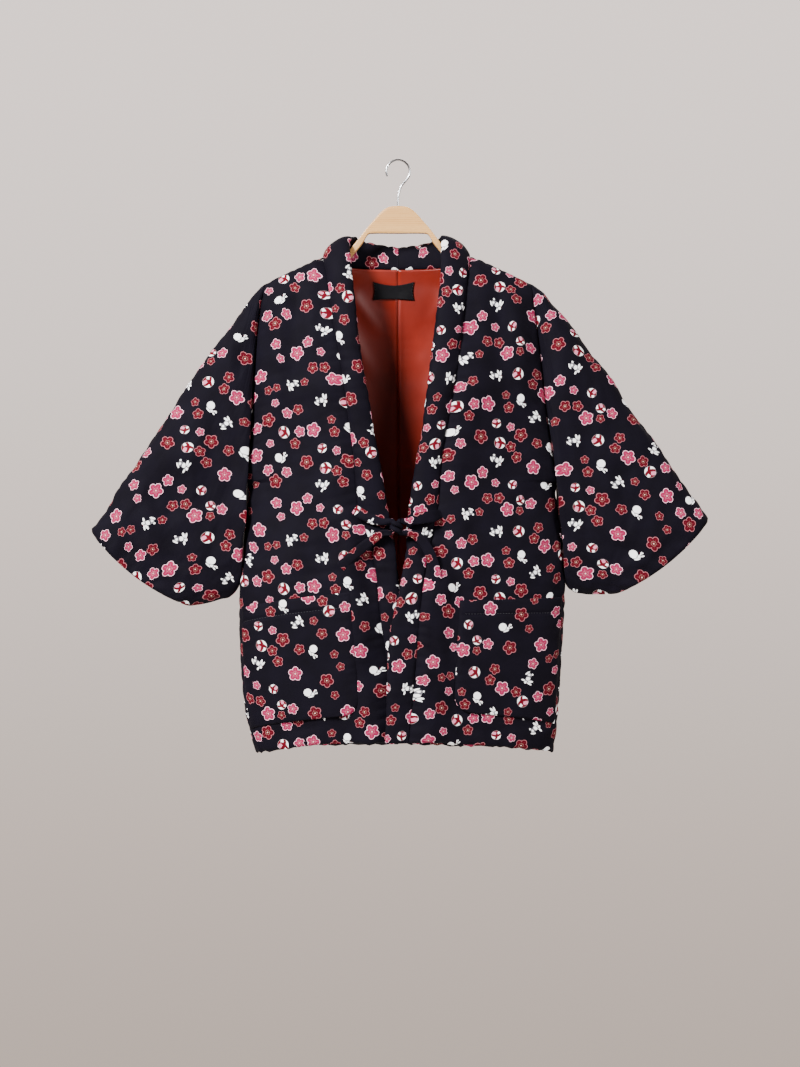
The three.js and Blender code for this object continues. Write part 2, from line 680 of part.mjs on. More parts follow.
for (const side of Object.keys(sides)) {
  addMesh(`front_${side}`, panel(side, 'front'), cloth);
  addMesh(`back_${side}`, panel(side, 'back'), cloth);
  addMesh(`sleeve_${side}`, sleeve(side), cloth);
  addMesh(`collar_${side}`, collar(side), cloth);
  addMesh(`pocket_${side}`, pocket(side), cloth);
  addMesh(`tie_${side}`, tie(side), cloth);
  addMesh(`lining_${side}`, lining(side), satin);
}
addMesh('neck_label', neckLabel(), labelCloth);
addMesh('hanger', hangerSolid(), paleWood);
addMesh('hook', hookWire(), steel);

export default part;
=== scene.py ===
# A padded hanten jacket hung on a pale wooden hanger. Lengths in the settings are millimetres.
# Right and left are the wearer's: left is +X, the front faces -Y, the rail is at the origin.
import math

import bpy
import numpy as np
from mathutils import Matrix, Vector


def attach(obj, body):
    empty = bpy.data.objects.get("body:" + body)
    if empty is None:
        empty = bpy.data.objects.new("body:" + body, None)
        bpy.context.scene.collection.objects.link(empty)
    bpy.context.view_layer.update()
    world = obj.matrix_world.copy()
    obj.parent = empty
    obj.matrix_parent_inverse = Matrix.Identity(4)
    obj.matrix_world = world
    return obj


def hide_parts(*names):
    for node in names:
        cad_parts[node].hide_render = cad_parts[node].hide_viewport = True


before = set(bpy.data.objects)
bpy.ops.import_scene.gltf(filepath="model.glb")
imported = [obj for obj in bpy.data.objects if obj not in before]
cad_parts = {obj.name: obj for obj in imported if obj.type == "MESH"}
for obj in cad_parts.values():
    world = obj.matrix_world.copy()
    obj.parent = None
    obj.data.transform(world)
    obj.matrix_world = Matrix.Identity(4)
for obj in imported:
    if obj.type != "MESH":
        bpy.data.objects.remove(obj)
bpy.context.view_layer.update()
print("frame loaded:", len(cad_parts), "nodes")

millimetre = 0.001
sideSigns = {"right": -1, "left": 1}
faceSigns = {"front": -1, "back": 1}


# camera, lights and stage
cameraSettings = {"place": (0.003, -4.0, -0.578), "lens": 87.0}
stageSettings = {
    "floorHeight": -1.75,
    "floorRadius": 1.3,
    "floorHex": "#D8D3CD",
    "skyLow": "#AC9D93",
    "skyHigh": "#F8E9E2",
    "skyStrength": 1.6,
    "frontPart": 0.12,  # how bright the room before the jacket is beside the backdrop
}
lightRows = [
    # name, place, aim, size, watts
    ("keyLight", (-2.0, -2.5, 1.3), (0, 0, -0.55), 1.0, 425),
    ("fillLight", (2.4, -2.4, 0.3), (0, 0, -0.55), 1.8, 90),
    ("backLight", (0.3, 2.6, 1.2), (0, 0, -0.5), 2.0, 60),
]


# sRGB hex to linear: each channel c gives ((c + 0.055) / 1.055) ^ 2.4, or c / 12.92 when small
def toLinear(hexCode):
    channels = [int(hexCode[i : i + 2], 16) / 255 for i in (1, 3, 5)]
    return tuple(c / 12.92 if c <= 0.04045 else ((c + 0.055) / 1.055) ** 2.4 for c in channels) + (1.0,)


# adds one shader node, sets its properties, and fills or links its inputs
def addNode(tree, kind, inputs=None, **settings):
    node = tree.nodes.new("ShaderNode" + kind)
    for name, value in settings.items():
        setattr(node, name, value)
    for name, value in (inputs or {}).items():
        if isinstance(value, bpy.types.NodeSocket):
            tree.links.new(value, node.inputs[name])
        else:
            node.inputs[name].default_value = value
    return node


def makeCamera():
    data = bpy.data.cameras.new("camera")
    data.lens = cameraSettings["lens"]
    data.sensor_width = 36
    camera = bpy.data.objects.new("camera", data)
    camera.location = cameraSettings["place"]
    camera.rotation_euler = (math.radians(90), 0, 0)
    bpy.context.collection.objects.link(camera)
    bpy.context.scene.camera = camera


def makeLights():
    for name, place, aim, size, watts in lightRows:
        data = bpy.data.lights.new(name, "AREA")
        data.shape, data.size, data.energy = "DISK", size, watts
        lamp = bpy.data.objects.new(name, data)
        lamp.location = place
        lamp.rotation_euler = (Vector(aim) - Vector(place)).to_track_quat("-Z", "Y").to_euler()
        bpy.context.collection.objects.link(lamp)


# an even studio backdrop: the world is a little darker towards the floor
def makeWorld():
    world = bpy.data.worlds.new("studio")
    bpy.context.scene.world = world
    world.use_nodes = True
    tree = world.node_tree
    tree.nodes.clear()
    place = addNode(tree, "TexCoord")
    split = addNode(tree, "SeparateXYZ", {0: place.outputs["Generated"]})
    rise = addNode(tree, "MapRange", {0: split.outputs[2], 1: -0.25, 2: 0.25}, interpolation_type="SMOOTHSTEP")
    low, high = toLinear(stageSettings["skyLow"]), toLinear(stageSettings["skyHigh"])
    tone = addNode(tree, "Mix", {0: rise.outputs[0], 6: low, 7: high}, data_type="RGBA")
    strength = stageSettings["skyStrength"]
    room = {0: split.outputs[1], 1: -0.5, 2: 0.5, 3: strength * stageSettings["frontPart"], 4: strength}
    glow = addNode(tree, "MapRange", room, interpolation_type="SMOOTHSTEP")
    sky = addNode(tree, "Background", {0: tone.outputs[2], 1: glow.outputs[0]})
    addNode(tree, "OutputWorld", {0: sky.outputs[0]})


# 0 below low, 1 above high, smooth between
def smoothStep(low, high, value):
    t = np.clip((value - low) / (high - low), 0, 1)
    return t * t * (3 - 2 * t)


def mix(a, b, t):
    return a + (b - a) * t


# cubic Hermite from a to b over a span, with the slope at each end
def hermite(t, a, slopeA, b, slopeB, span=1):
    return (
        (2 * t**3 - 3 * t**2 + 1) * a
        + (t**3 - 2 * t**2 + t) * span * slopeA
        + (3 * t**2 - 2 * t**3) * b
        + (t**3 - t**2) * span * slopeB
    )


# a curve through a table: slopes are the rise over two rows, and it is level past the ends
def curveThrough(rows, column):
    table = np.array(sorted(rows, key=lambda row: row[0]), float)
    at, value = table[:, 0], table[:, column]
    low = np.maximum(np.arange(len(at)) - 1, 0)
    high = np.minimum(np.arange(len(at)) + 1, len(at) - 1)
    slope = (value[high] - value[low]) / (at[high] - at[low])

    def curve(position):
        x = np.clip(position, at[0], at[-1])
        i = np.clip(np.searchsorted(at, x, side="right") - 1, 0, len(at) - 2)
        span = at[i + 1] - at[i]
        return hermite((x - at[i]) / span, value[i], slope[i], value[i + 1], slope[i + 1], span)

    return curve


# random heights from -1 to 1 on a square lattice, blended with smoothstep weights
def softNoise(u, v, cell, seed):
    lattice = np.random.default_rng(seed).uniform(-1, 1, (61, 61))
    a, b = np.broadcast_arrays(np.asarray(u, float) / cell, np.asarray(v, float) / cell)
    i, j = np.floor(a).astype(int), np.floor(b).astype(int)
    s, t = smoothStep(0, 1, a - i), smoothStep(0, 1, b - j)
    at = lambda di, dj: lattice[(i + di) % 61, (j + dj) % 61]
    return mix(mix(at(0, 0), at(1, 0), s), mix(at(0, 1), at(1, 1), s), t)


# soft uneven wadding: two layers of noise, the second turned so that no lattice shows
def waddingNoise(u, v, cell, seed):
    a, b = 0.8 * u + 0.6 * v, 0.8 * v - 0.6 * u
    return 0.65 * softNoise(u, v, cell, seed) + 0.45 * softNoise(a, b, cell * 0.62, seed + 1)


# depth of the skin's fall beside a seam: a quarter circle, deepest on the seam itself
def seamFall(distance, depth, width):
    part = 1 - np.clip(distance / width, 0, 1)
    return depth * (1 - np.sqrt(1 - part**2))


# rounded ridges along a seam, unevenly spaced
def scallops(along, spacing, drift, row, cell, seed, level=0.6):
    return np.abs(np.sin(math.pi * (along / spacing + drift * softNoise(along, row, cell, seed)))) - level


# a distance from a seam, shortened and lengthened by puckers along it so that its edge is ruffled
def ruffled(distance, along, spacing, amount, seed):
    ridge = scallops(along, spacing, 0.6, 11, 2.7 * spacing, seed)
    return distance * (1 + amount * ridge * (0.65 + 0.35 * softNoise(along, 70, 2.1 * spacing, seed + 3)))


# gathers beside a seam: uneven ridges square to it, strongest a little way in, then dying out
def seamGathers(distance, along, height, spacing, reach, seed):
    drift = 0.55 * softNoise(along, 0, 3.1 * spacing, seed)
    ridge = np.abs(np.sin(math.pi * (along / spacing + drift))) ** 1.4 - 0.45
    strength = 0.55 + 0.45 * softNoise(along, 40, 2.3 * spacing, seed + 7)
    fade = smoothStep(0, 0.22 * reach, distance) * np.exp(-distance / reach)
    lean = 0.75 + 0.25 * softNoise(along, 90, 1.7 * spacing, seed + 9)
    return height * ridge * strength * fade * lean


# creases along listed lines: along each line a bell profile across, fading by a sine to both ends
def creaseHeight(rows, x, z):
    height = np.zeros(np.broadcast(x, z).shape)
    for x1, z1, x2, z2, width, out in rows:
        alongX, alongZ = x2 - x1, z2 - z1
        t = ((x - x1) * alongX + (z - z1) * alongZ) / (alongX**2 + alongZ**2)
        near = np.clip(t, 0, 1)
        away = np.hypot(x - x1 - near * alongX, z - z1 - near * alongZ)
        ends = np.sin(math.pi * np.clip(t * 0.8 + 0.1, 0, 1))
        height += out * ends * np.exp(-((away / width) ** 2))
    return height


def arcLength(points, axis):
    steps = np.linalg.norm(np.diff(points, axis=axis), axis=-1)
    start = np.zeros_like(np.take(steps, [0], axis=axis))
    return np.concatenate([start, np.cumsum(steps, axis=axis)], axis=axis)


def unit(vectors):
    return vectors / np.maximum(np.linalg.norm(vectors, axis=-1, keepdims=True), 1e-9)


# the jacket's form: half widths and depths of the body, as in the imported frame
body = {
    "gap": 0.3,
    "padding": 8.0,
    "lining": 2.0,
    "rows": [  # z, half width right and left, depth front and back
        (-189, 205, 205, 58, 58),
        (-232, 213, 211, 58, 58),
        (-303, 221, 220, 58, 58),
        (-384, 225, 229, 58, 58),
        (-464, 231, 241, 58, 59),
        (-545, 237, 251, 59, 60),
        (-600, 241, 257, 60, 61),
        (-669, 247, 260, 61, 62),
        (-762, 246, 255, 60, 62),
        (-847, 239, 250, 57, 60),
        (-889, 230, 246, 55, 58),
        (-917, 221, 242, 54, 57),
    ],
    "shoulder": [(0, -132), (60, -137), (116, -148), (147, -161), (180, -176), (205, -189)],
    "shoulderHalf": 205,
    "neck": [(0, -167), (0.4, -166.5), (0.74, -163), (0.9, -157), (1, -148)],
    "neckHalf": {"right": 116, "left": 111},
    "hem": {"side": -917, "front": -898, "back": -909},
    "fall": 200,
    "sectionPower": 2.4,
    "armTop": -189,
    "armLow": -500,
    "armHalf": 17,
    "armFade": 30,
    "sideTurn": (-690, -430),
    "lapDepth": 16,
    "lapTop": -560,
    "lapFull": -670,
    "lapSpread": 110,
    "length": 760,  # from shoulder to hem
    "deepFrom": (-540, -380),  # the armhole seams grow deeper between these heights
}
rimDepth = body["padding"] / 2 - 0.4  # how far each skin goes in to close a rim
bigFolds = {  # x1, z1, x2, z2, width, height: the frame's own large folds
    "right front": [(52, -575, 30, -790, 15, -5), (80, -560, 58, -770, 18, 4)],
    "left front": [(62, -560, 102, -680, 14, -5), (45, -620, 52, -850, 16, 4)],
    "left back": [(150, -230, 120, -760, 34, -5), (40, -260, 60, -820, 40, 5)],
    "right back": [(150, -230, 125, -760, 34, -5), (50, -300, 60, -850, 40, 4)],
}
shoulderLine = curveThrough(body["shoulder"], 1)
neckLine = curveThrough(body["neck"], 1)
halfWidth = {"right": curveThrough(body["rows"], 1), "left": curveThrough(body["rows"], 2)}
fullDepth = {"front": curveThrough(body["rows"], 3), "back": curveThrough(body["rows"], 4)}


# the armhole seam lies deepest below the shoulder and less deep further down
def armDeep(z):
    return mix(0.35, 1, smoothStep(*body["deepFrom"], z))


# half the width of a long rounded loop, at a place from -1 to 1 along its length
def loopHalf(place, length, half, corner):
    power = np.maximum(corner * length / half**2, 2)
    return half * np.sqrt(np.maximum(1 - np.abs(place) ** power, 0))


# half width of the open armhole at a height, below the shoulder seam above x
def armholeGap(x, z, inset):
    top = shoulderLine(x) - inset
    length = top - body["armLow"] - inset
    place = 1 - 2 * (top - z) / length
    half = body["armHalf"] - inset
    return np.where(np.abs(place) >= 1, 0, loopHalf(np.clip(place, -1, 1), length, half, half))


def reachAt(side, z, inset):
    openness = smoothStep(body["armLow"] - body["armFade"], body["armLow"], z)
    return halfWidth[side](z) - inset * (1 - openness)


# depth in front of or behind the middle plane: a bulge that is full at the chest, thins to the
# sides by 1 - (x / reach)^2.4 and to the shoulder by a quarter ellipse, and opens at the armhole
def bodyDepth(side, face, x, z, inset):
    drop = np.clip((shoulderLine(x) - inset - z) / (body["fall"] - inset), 0, 1)
    swell = np.sqrt(1 - (1 - drop) ** 2)
    power = mix(0.5, 1, smoothStep(*body["sideTurn"], z))
    across = (1 - np.clip(x / reachAt(side, z, inset), 0, 1) ** body["sectionPower"]) ** power
    local = mix(4, 1, smoothStep(body["armLow"], (body["armLow"] + body["armTop"]) / 2, z))
    hole = armholeGap(x, z, inset) * (1 - across) ** local
    extra = creaseHeight(bigFolds[side + " " + face], x, z)
    if side == "left" and face == "front":
        lap = 1 - smoothStep(body["lapFull"], body["lapTop"], z)
        extra = extra + body["lapDepth"] * lap * np.exp(-((x / body["lapSpread"]) ** 2))
    return hole + (fullDepth[face](z) - inset) * swell * across + extra * across * np.minimum(1.5 * swell, 1)


def bodyPoint(side, face, x, z, inset):
    depth = bodyDepth(side, face, np.maximum(x, 0), z, inset) + body["gap"] / 2
    return np.stack(np.broadcast_arrays(sideSigns[side] * x, faceSigns[face] * depth, z), -1)


# a point moved out from the body's skin, square to it
def raisedPoint(side, face, x, z, distance):
    here = bodyPoint(side, face, x, z, 0)
    acrossX = bodyPoint(side, face, x - 2, z, 0) - here
    downZ = bodyPoint(side, face, x, z - 2, 0) - here
    normal = unit(np.cross(acrossX, downZ))
    normal = normal * np.where(normal[..., 1:2] * faceSigns[face] < 0, -1, 1)
    return here + normal * np.asarray(distance)[..., None]


def arcPart(x, reach):
    return 2 / math.pi * np.arcsin(np.clip(x / reach, -1, 1))


# the four corners of every cell of a grid whose rows or columns may close on themselves, as vertex
# numbers and as places on the unrolled grid
def gridCells(rowCount, columnCount, joinRows, joinColumns):
    i, j = np.meshgrid(
        np.arange(rowCount - (not joinRows)), np.arange(columnCount - (not joinColumns)), indexing="ij"
    )
    rows = np.stack([i, i, i + 1, i + 1], -1).reshape(-1, 4)
    columns = np.stack([j, j + 1, j + 1, j], -1).reshape(-1, 4)
    quads = (rows % rowCount) * columnCount + columns % columnCount
    return quads, rows, columns


# six times the volume of the shell, by the signed tetrahedra of a fan over each face
def shellVolume(points, faces):
    total = 0.0
    sizes = {}
    for face in faces:
        sizes.setdefault(len(face), []).append(face)
    for size, group in sizes.items():
        corners = points[np.array(group)]
        for k in range(1, size - 1):
            total += np.einsum("ij,ij->", corners[:, 0], np.cross(corners[:, k], corners[:, k + 1]))
    return total


# one mesh object from points in millimetres, faces, and the print's flat place at each corner
def makeMesh(name, points, faces, cornerUv, materials, faceSlots):
    if shellVolume(points, faces) < 0:
        faces = [list(reversed(face)) for face in faces]
        cornerUv = [list(reversed(list(corners))) for corners in cornerUv]
    mesh = bpy.data.meshes.new(name)
    mesh.from_pydata((points * millimetre).tolist(), [], [list(face) for face in faces])
    for material in materials:
        mesh.materials.append(material)
    mesh.polygons.foreach_set("material_index", np.array(faceSlots, np.int32))
    mesh.polygons.foreach_set("use_smooth", np.ones(len(faces), bool))
    flat = np.concatenate([np.asarray(corners, float).reshape(-1, 2) for corners in cornerUv])
    layer = mesh.uv_layers.new(name="clothMap")
    layer.data.foreach_set("uv", (flat * millimetre).ravel())
    mesh.update()
    piece = bpy.data.objects.new(name, mesh)
    bpy.context.collection.objects.link(piece)
    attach(piece, "root")
    return piece


# a closed shell from a grid; open ends of a joined grid are capped by the faces in caps
def shellFromGrid(name, points, uv, joinRows, joinColumns, materials, cellSlots, caps=()):
    rowCount, columnCount = points.shape[:2]
    quads, rows, columns = gridCells(rowCount, columnCount, joinRows, joinColumns)
    cornerUv = uv[rows, columns]
    flatPoints = points.reshape(-1, 3)
    flatUv = uv[:rowCount, :columnCount].reshape(-1, 2)
    faces = quads.tolist() + [list(cap) for cap in caps]
    corners = list(cornerUv) + [flatUv[list(cap)] for cap in caps]
    slots = np.concatenate([np.broadcast_to(cellSlots, quads.shape[0]), np.zeros(len(caps))])
    return makeMesh(name, flatPoints, faces, corners, materials, slots)


# a closed shell from an outer and an inner skin on one grid; the inner one keeps every nth column
# and can have the second material in its first rows
def twoSkinShell(name, outer, inner, flat, step, materials, secondRows=0):
    ring = np.concatenate([outer, inner[:, ::step][:, ::-1]], axis=1)
    flatRing = np.concatenate([flat, flat[:, ::step][:, ::-1], flat[:, :1]], axis=1)
    rowCount, ringSize, columnCount = ring.shape[0] - 1, ring.shape[1], outer.shape[1] - 1
    caps = []
    for start, order in ((0, 1), (rowCount * ringSize, -1)):
        for k in range(columnCount // step):
            cap = [start + ringSize - 1 - k, start + ringSize - 2 - k]
            cap += [start + (k + 1) * step - j for j in range(step + 1)]
            caps.append(cap[::order])
    cells = np.zeros((rowCount, ringSize), int)
    cells[:secondRows, columnCount + 1 : -1] = 1
    return shellFromGrid(name, ring, flatRing, False, True, materials, cells.ravel(), caps)


# a tube from rings, with both ends closed; a print runs round it and along it
def tubeShell(name, rings, material, along=None, uvStart=(0, 0)):
    size = rings.shape[1]
    flat = np.zeros((len(rings), size + 1, 2))
    if along is not None:
        flat[..., 0] = arcLength(np.concatenate([rings, rings[:, :1]], axis=1), 1) + uvStart[0]
        flat[..., 1] = along[:, None] + uvStart[1]
    last = (len(rings) - 1) * size
    caps = [list(range(size)), list(range(last + size - 1, last - 1, -1))]
    return shellFromGrid(name, rings, flat, False, True, [material], 0, caps)


# hides the frame's solid that a piece stands for; printed cloth gets its motifs
def finishPiece(piece, node, slot):
    if slot == "printed_cloth":
        addPrint(piece)
    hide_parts(node)
    return piece


# padded cloth settles by a cloth simulation: each sheet is a little larger than the seams that
# hold it, which are pinned, and a light pressure stands for the wadding
wadding = {
    "frames": 14,
    "hold": 0.32,  # how firmly the wadding holds the cloth in place away from the seams
    "broad": 9,  # the cells over which a broad swelling is taken off again
    "cap": 6.5,
    "gain": 1.25,  # the smoothing lowers the folds, so they are raised again
}
clothSettings = {
    "quality": 5,
    "mass": 0.2,
    "tension_stiffness": 14,
    "compression_stiffness": 14,
    "shear_stiffness": 5,
    "bending_stiffness": 0.25,
    "shrink_min": -0.055,  # so much longer is the cloth than the way between its seams
    "shrink_max": -0.055,
    "use_pressure": True,
    "uniform_pressure_force": 1.6,
    "vertex_group_mass": "held",
}


# Catmull-Rom weights that spread values on every nth row over all rows
def spreadWeights(coarseCount, factor):
    at = np.arange((coarseCount - 1) * factor + 1) / factor
    i = np.minimum(at.astype(int), coarseCount - 2)
    t = at - i
    curves = [
        (-(t**3) + 2 * t**2 - t) / 2,
        (3 * t**3 - 5 * t**2 + 2) / 2,
        (-3 * t**3 + 4 * t**2 + t) / 2,
        (t**3 - t**2) / 2,
    ]
    weights = np.zeros((len(at), coarseCount))
    for k, curve in enumerate(curves):
        np.add.at(weights, (np.arange(len(at)), np.clip(i + k - 1, 0, coarseCount - 1)), curve)
    return weights


# a running mean over a grid, by moving sums along both ways
def smoothed(values, reach, joined):
    for axis in (0, 1):
        mode = "wrap" if joined and axis == 1 else "edge"
        pad = [(reach, reach) if a == axis else (0, 0) for a in (0, 1)]
        total = np.cumsum(np.pad(values, pad, mode=mode), axis=axis)
        total = np.concatenate([np.zeros_like(np.take(total, [0], axis=axis)), total], axis=axis)
        size, count = 2 * reach + 1, values.shape[axis]
        past, before = np.take(total, range(size, size + count), axis=axis), np.take(total, range(count), axis=axis)
        values = (past - before) / size
    return values


# settles sheets (points, outward directions, steps, joined) and gives how far each point moved out
def settleSheets(sheets):
    proxies = {}
    for name, (points, outward, (rowStep, columnStep), joined) in sheets.items():
        coarse = points[::rowStep, ::columnStep]
        rowCount, columnCount = coarse.shape[:2]
        quads, _, _ = gridCells(rowCount, columnCount, False, joined)
        flatPoints = coarse.reshape(-1, 3)
        flatOutward = outward[::rowStep, ::columnStep].reshape(-1, 3)
        first, second, _, fourth = (flatPoints[quads[:, corner]] for corner in range(4))
        if np.einsum("ij,ij->", np.cross(second - first, fourth - first), flatOutward[quads[:, 0]]) < 0:
            quads = quads[:, ::-1]
        mesh = bpy.data.meshes.new(name)
        mesh.from_pydata((flatPoints * millimetre).tolist(), [], quads.tolist())
        proxy = bpy.data.objects.new(name, mesh)
        bpy.context.collection.objects.link(proxy)
        edge = np.zeros((rowCount, columnCount), bool)
        edge[[0, -1]] = True
        edge[:, 0] = True
        if not joined:
            edge[:, -1] = True
        held = proxy.vertex_groups.new(name="held")
        held.add(np.flatnonzero(edge.ravel()).tolist(), 1.0, "REPLACE")
        held.add(np.flatnonzero(~edge.ravel()).tolist(), wadding["hold"], "REPLACE")
        cloth = proxy.modifiers.new("cloth", "CLOTH")
        for setting, value in clothSettings.items():
            setattr(cloth.settings, setting, value)
        cloth.settings.effector_weights.gravity = 0
        cloth.point_cache.frame_end = wadding["frames"]
        proxies[name] = proxy
    for number in range(1, wadding["frames"] + 1):
        bpy.context.scene.frame_set(number)
    scenery = bpy.context.evaluated_depsgraph_get()
    moved = {}
    for name, (points, outward, (rowStep, columnStep), joined) in sheets.items():
        coarse = points[::rowStep, ::columnStep]
        settled = proxies[name].evaluated_get(scenery)
        places = np.zeros(coarse.size, np.float32)
        settled.data.vertices.foreach_get("co", places)
        shift = places.reshape(coarse.shape) / millimetre - coarse
        out = np.einsum("ijk,ijk->ij", shift, outward[::rowStep, ::columnStep])
        print("  settled", name, "from", round(float(out.min()), 1), "to", round(float(out.max()), 1), "mm")
        out = smoothed(out, 1, joined)
        out = out - smoothed(out, wadding["broad"], joined)
        out = wadding["cap"] * np.tanh(out * wadding["gain"] / wadding["cap"])
        if joined:
            out = np.concatenate([out, out[:, :1]], axis=1)
        spread = spreadWeights(out.shape[0], rowStep) @ out @ spreadWeights(out.shape[1], columnStep).T
        moved[name] = spread[:, : points.shape[1]]
    for proxy in proxies.values():
        mesh = proxy.data
        bpy.data.objects.remove(proxy)
        bpy.data.meshes.remove(mesh)
    bpy.context.scene.frame_set(1)
    return moved


# settles the sheets
def paddedLift(sheets):
    return settleSheets(sheets)


# the print: a seeded layout of small motifs in a repeat, one motif held by each face
printSettings = {
    "repeat": 240,
    "clear": 0.7,
    "tries": 1500,
    "choices": 7,  # how many free places a motif is offered: more gives an evener spread
    "small": 8.8,  # the radius below which a motif may lie close beside another
    "near": 0.45,  # the share of those that do
    "seed": 11,
    "motifs": [  # kind, radius, count
        (1, 11.3, 7),
        (2, 11.0, 6),
        (4, 12.8, 5),
        (5, 11.4, 4),
        (3, 9.0, 4),
        (1, 8.7, 9),
        (2, 8.5, 12),
        (3, 7.2, 3),
        (1, 6.7, 5),
        (2, 6.7, 9),
    ],
}


# drops the motifs one by one, largest first, each at the roomiest of a few free places, or for
# some small ones at the closest
def layMotifs():
    rng = np.random.default_rng(printSettings["seed"])
    repeat = printSettings["repeat"]
    placed = np.zeros((0, 5))
    for kind, radius, count in printSettings["motifs"]:
        for _ in range(count):
            spots = rng.uniform(0, repeat, (printSettings["tries"], 2))
            spot = spots[0]
            if len(placed):
                away = spots[:, None] - placed[None, :, :2]
                away -= repeat * np.round(away / repeat)
                room = (np.hypot(away[..., 0], away[..., 1]) - placed[None, :, 3] - radius).min(1)
                free = np.flatnonzero(room > printSettings["clear"])[: printSettings["choices"]]
                close = radius < printSettings["small"] and rng.uniform() < printSettings["near"]
                if len(free):
                    spot = spots[free[(np.argmin if close else np.argmax)(room[free])]]
                else:
                    spot = spots[np.argmax(room)]
            placed = np.vstack([placed, [spot[0], spot[1], kind, radius, rng.uniform(0, 2 * math.pi)]])
    return placed


motifs = layMotifs()
print("print laid out:", len(motifs), "motifs in a repeat")


# writes on each face the nearest motif's centre and turn, and its kind and radius
def addPrint(piece):
    mesh = piece.data
    count = len(mesh.polygons)
    sizes = np.zeros(count, np.int32)
    mesh.polygons.foreach_get("loop_total", sizes)
    starts = np.zeros(count, np.int32)
    mesh.polygons.foreach_get("loop_start", starts)
    uv = np.zeros(len(mesh.loops) * 2, np.float32)
    mesh.uv_layers[0].data.foreach_get("uv", uv)
    uv = uv.reshape(-1, 2).astype(float) / millimetre
    centres = np.add.reduceat(uv, starts, axis=0) / sizes[:, None]
    away = centres[:, None] - motifs[None, :, :2]
    away -= printSettings["repeat"] * np.round(away / printSettings["repeat"])
    room = np.hypot(away[..., 0], away[..., 1]) - motifs[None, :, 3]
    nearest = np.argmin(room, axis=1)
    place = centres - away[np.arange(count), nearest]
    chosen = motifs[nearest]
    values = {
        "motifPlace": np.column_stack([place * millimetre, chosen[:, 4]]),
        "motifLook": np.column_stack([chosen[:, 2], chosen[:, 3] * millimetre, np.zeros(count)]),
    }
    for name, rows in values.items():
        layer = mesh.attributes.new(name, "FLOAT_VECTOR", "FACE")
        layer.data.foreach_set("vector", rows.astype(np.float32).ravel())


def newMaterial(name):
    material = bpy.data.materials.new(name)
    material.use_nodes = True
    tree = material.node_tree
    tree.nodes.clear()
    return material, tree


def finishMaterial(tree, shader):
    addNode(tree, "OutputMaterial", {"Surface": shader.outputs[0]})


# a list of math steps: (result, operation, terms...), where a term is a number or an earlier result
def runSteps(tree, values, steps):
    for result, operation, *terms in steps:
        inputs = {i: values[term] if isinstance(term, str) else term for i, term in enumerate(terms)}
        values[result] = addNode(tree, "Math", inputs, operation=operation).outputs[0]
    return values


printLook = {
    "cloth": "#070509",  # navy-black cotton
    "clothFaded": "#0F0C17",
    "pink": "#8E2146",
    "pinkEdge": "#F0BCCA",
    "pinkVein": "#D87E9A",
    "red": "#4E0513",
    "redEdge": "#A8666C",
    "redVein": "#8E3A42",
    "cream": "#EAD6BE",
    "white": "#FFFEFE",
    "crimson": "#5C0716",
    "earPink": "#D9929C",
    "contour": "#3A3742",
    "roughness": 0.72,
    "threadSpacing": 0.9,  # real threads are 0.35 mm apart; drawn coarser so that the weave shows
}
# a running rabbit as ellipses, nose towards +x: centre x, y, half sizes, turn in degrees
runnerShape = [
    (-0.12, -0.04, 0.50, 0.27, 18),
    (-0.40, -0.16, 0.32, 0.28, 10),
    (0.42, 0.04, 0.24, 0.19, -14),
    (0.08, 0.40, 0.14, 0.42, 38),
    (0.32, 0.46, 0.11, 0.38, 12),
    (0.46, -0.36, 0.11, 0.26, 24),
    (-0.50, -0.52, 0.34, 0.12, -16),
    (-0.74, 0.06, 0.13, 0.12, 0),
]
# a curled rabbit: a round body, a small head low in front, two ears held out and a foot
curledShape = [
    (-0.30, 0.02, 0.56, 0.54, 0),
    (0.36, -0.24, 0.29, 0.19, 28),
    (0.62, 0.10, 0.09, 0.30, -28),
    (0.80, -0.16, 0.25, 0.09, 8),
    (0.10, -0.54, 0.42, 0.12, 12),
    (0.84, 0.20, 0.11, 0.10, 0),
]


# distance rule for a union of ellipses: the smallest of the scaled lengths from each centre, and
# the second smallest, which is as small along the line where two parts of the rabbit meet
def unionOfEllipses(tree, place, rows):
    nearest = second = None
    for x, y, halfX, halfY, degrees in rows:
        local = addNode(
            tree,
            "Mapping",
            {
                "Vector": place,
                "Location": (x, y, 0),
                "Rotation": (0, 0, math.radians(degrees)),
                "Scale": (halfX, halfY, 1),
            },
            vector_type="TEXTURE",
        )
        length = addNode(tree, "VectorMath", {0: local.outputs[0]}, operation="LENGTH").outputs["Value"]
        if nearest is None:
            nearest = length
            continue
        farther = addNode(tree, "Math", {0: nearest, 1: length}, operation="MAXIMUM").outputs[0]
        nearest = addNode(tree, "Math", {0: nearest, 1: length}, operation="MINIMUM").outputs[0]
        if second is None:
            second = farther
        else:
            second = addNode(tree, "Math", {0: second, 1: farther}, operation="MINIMUM").outputs[0]
    return nearest, second


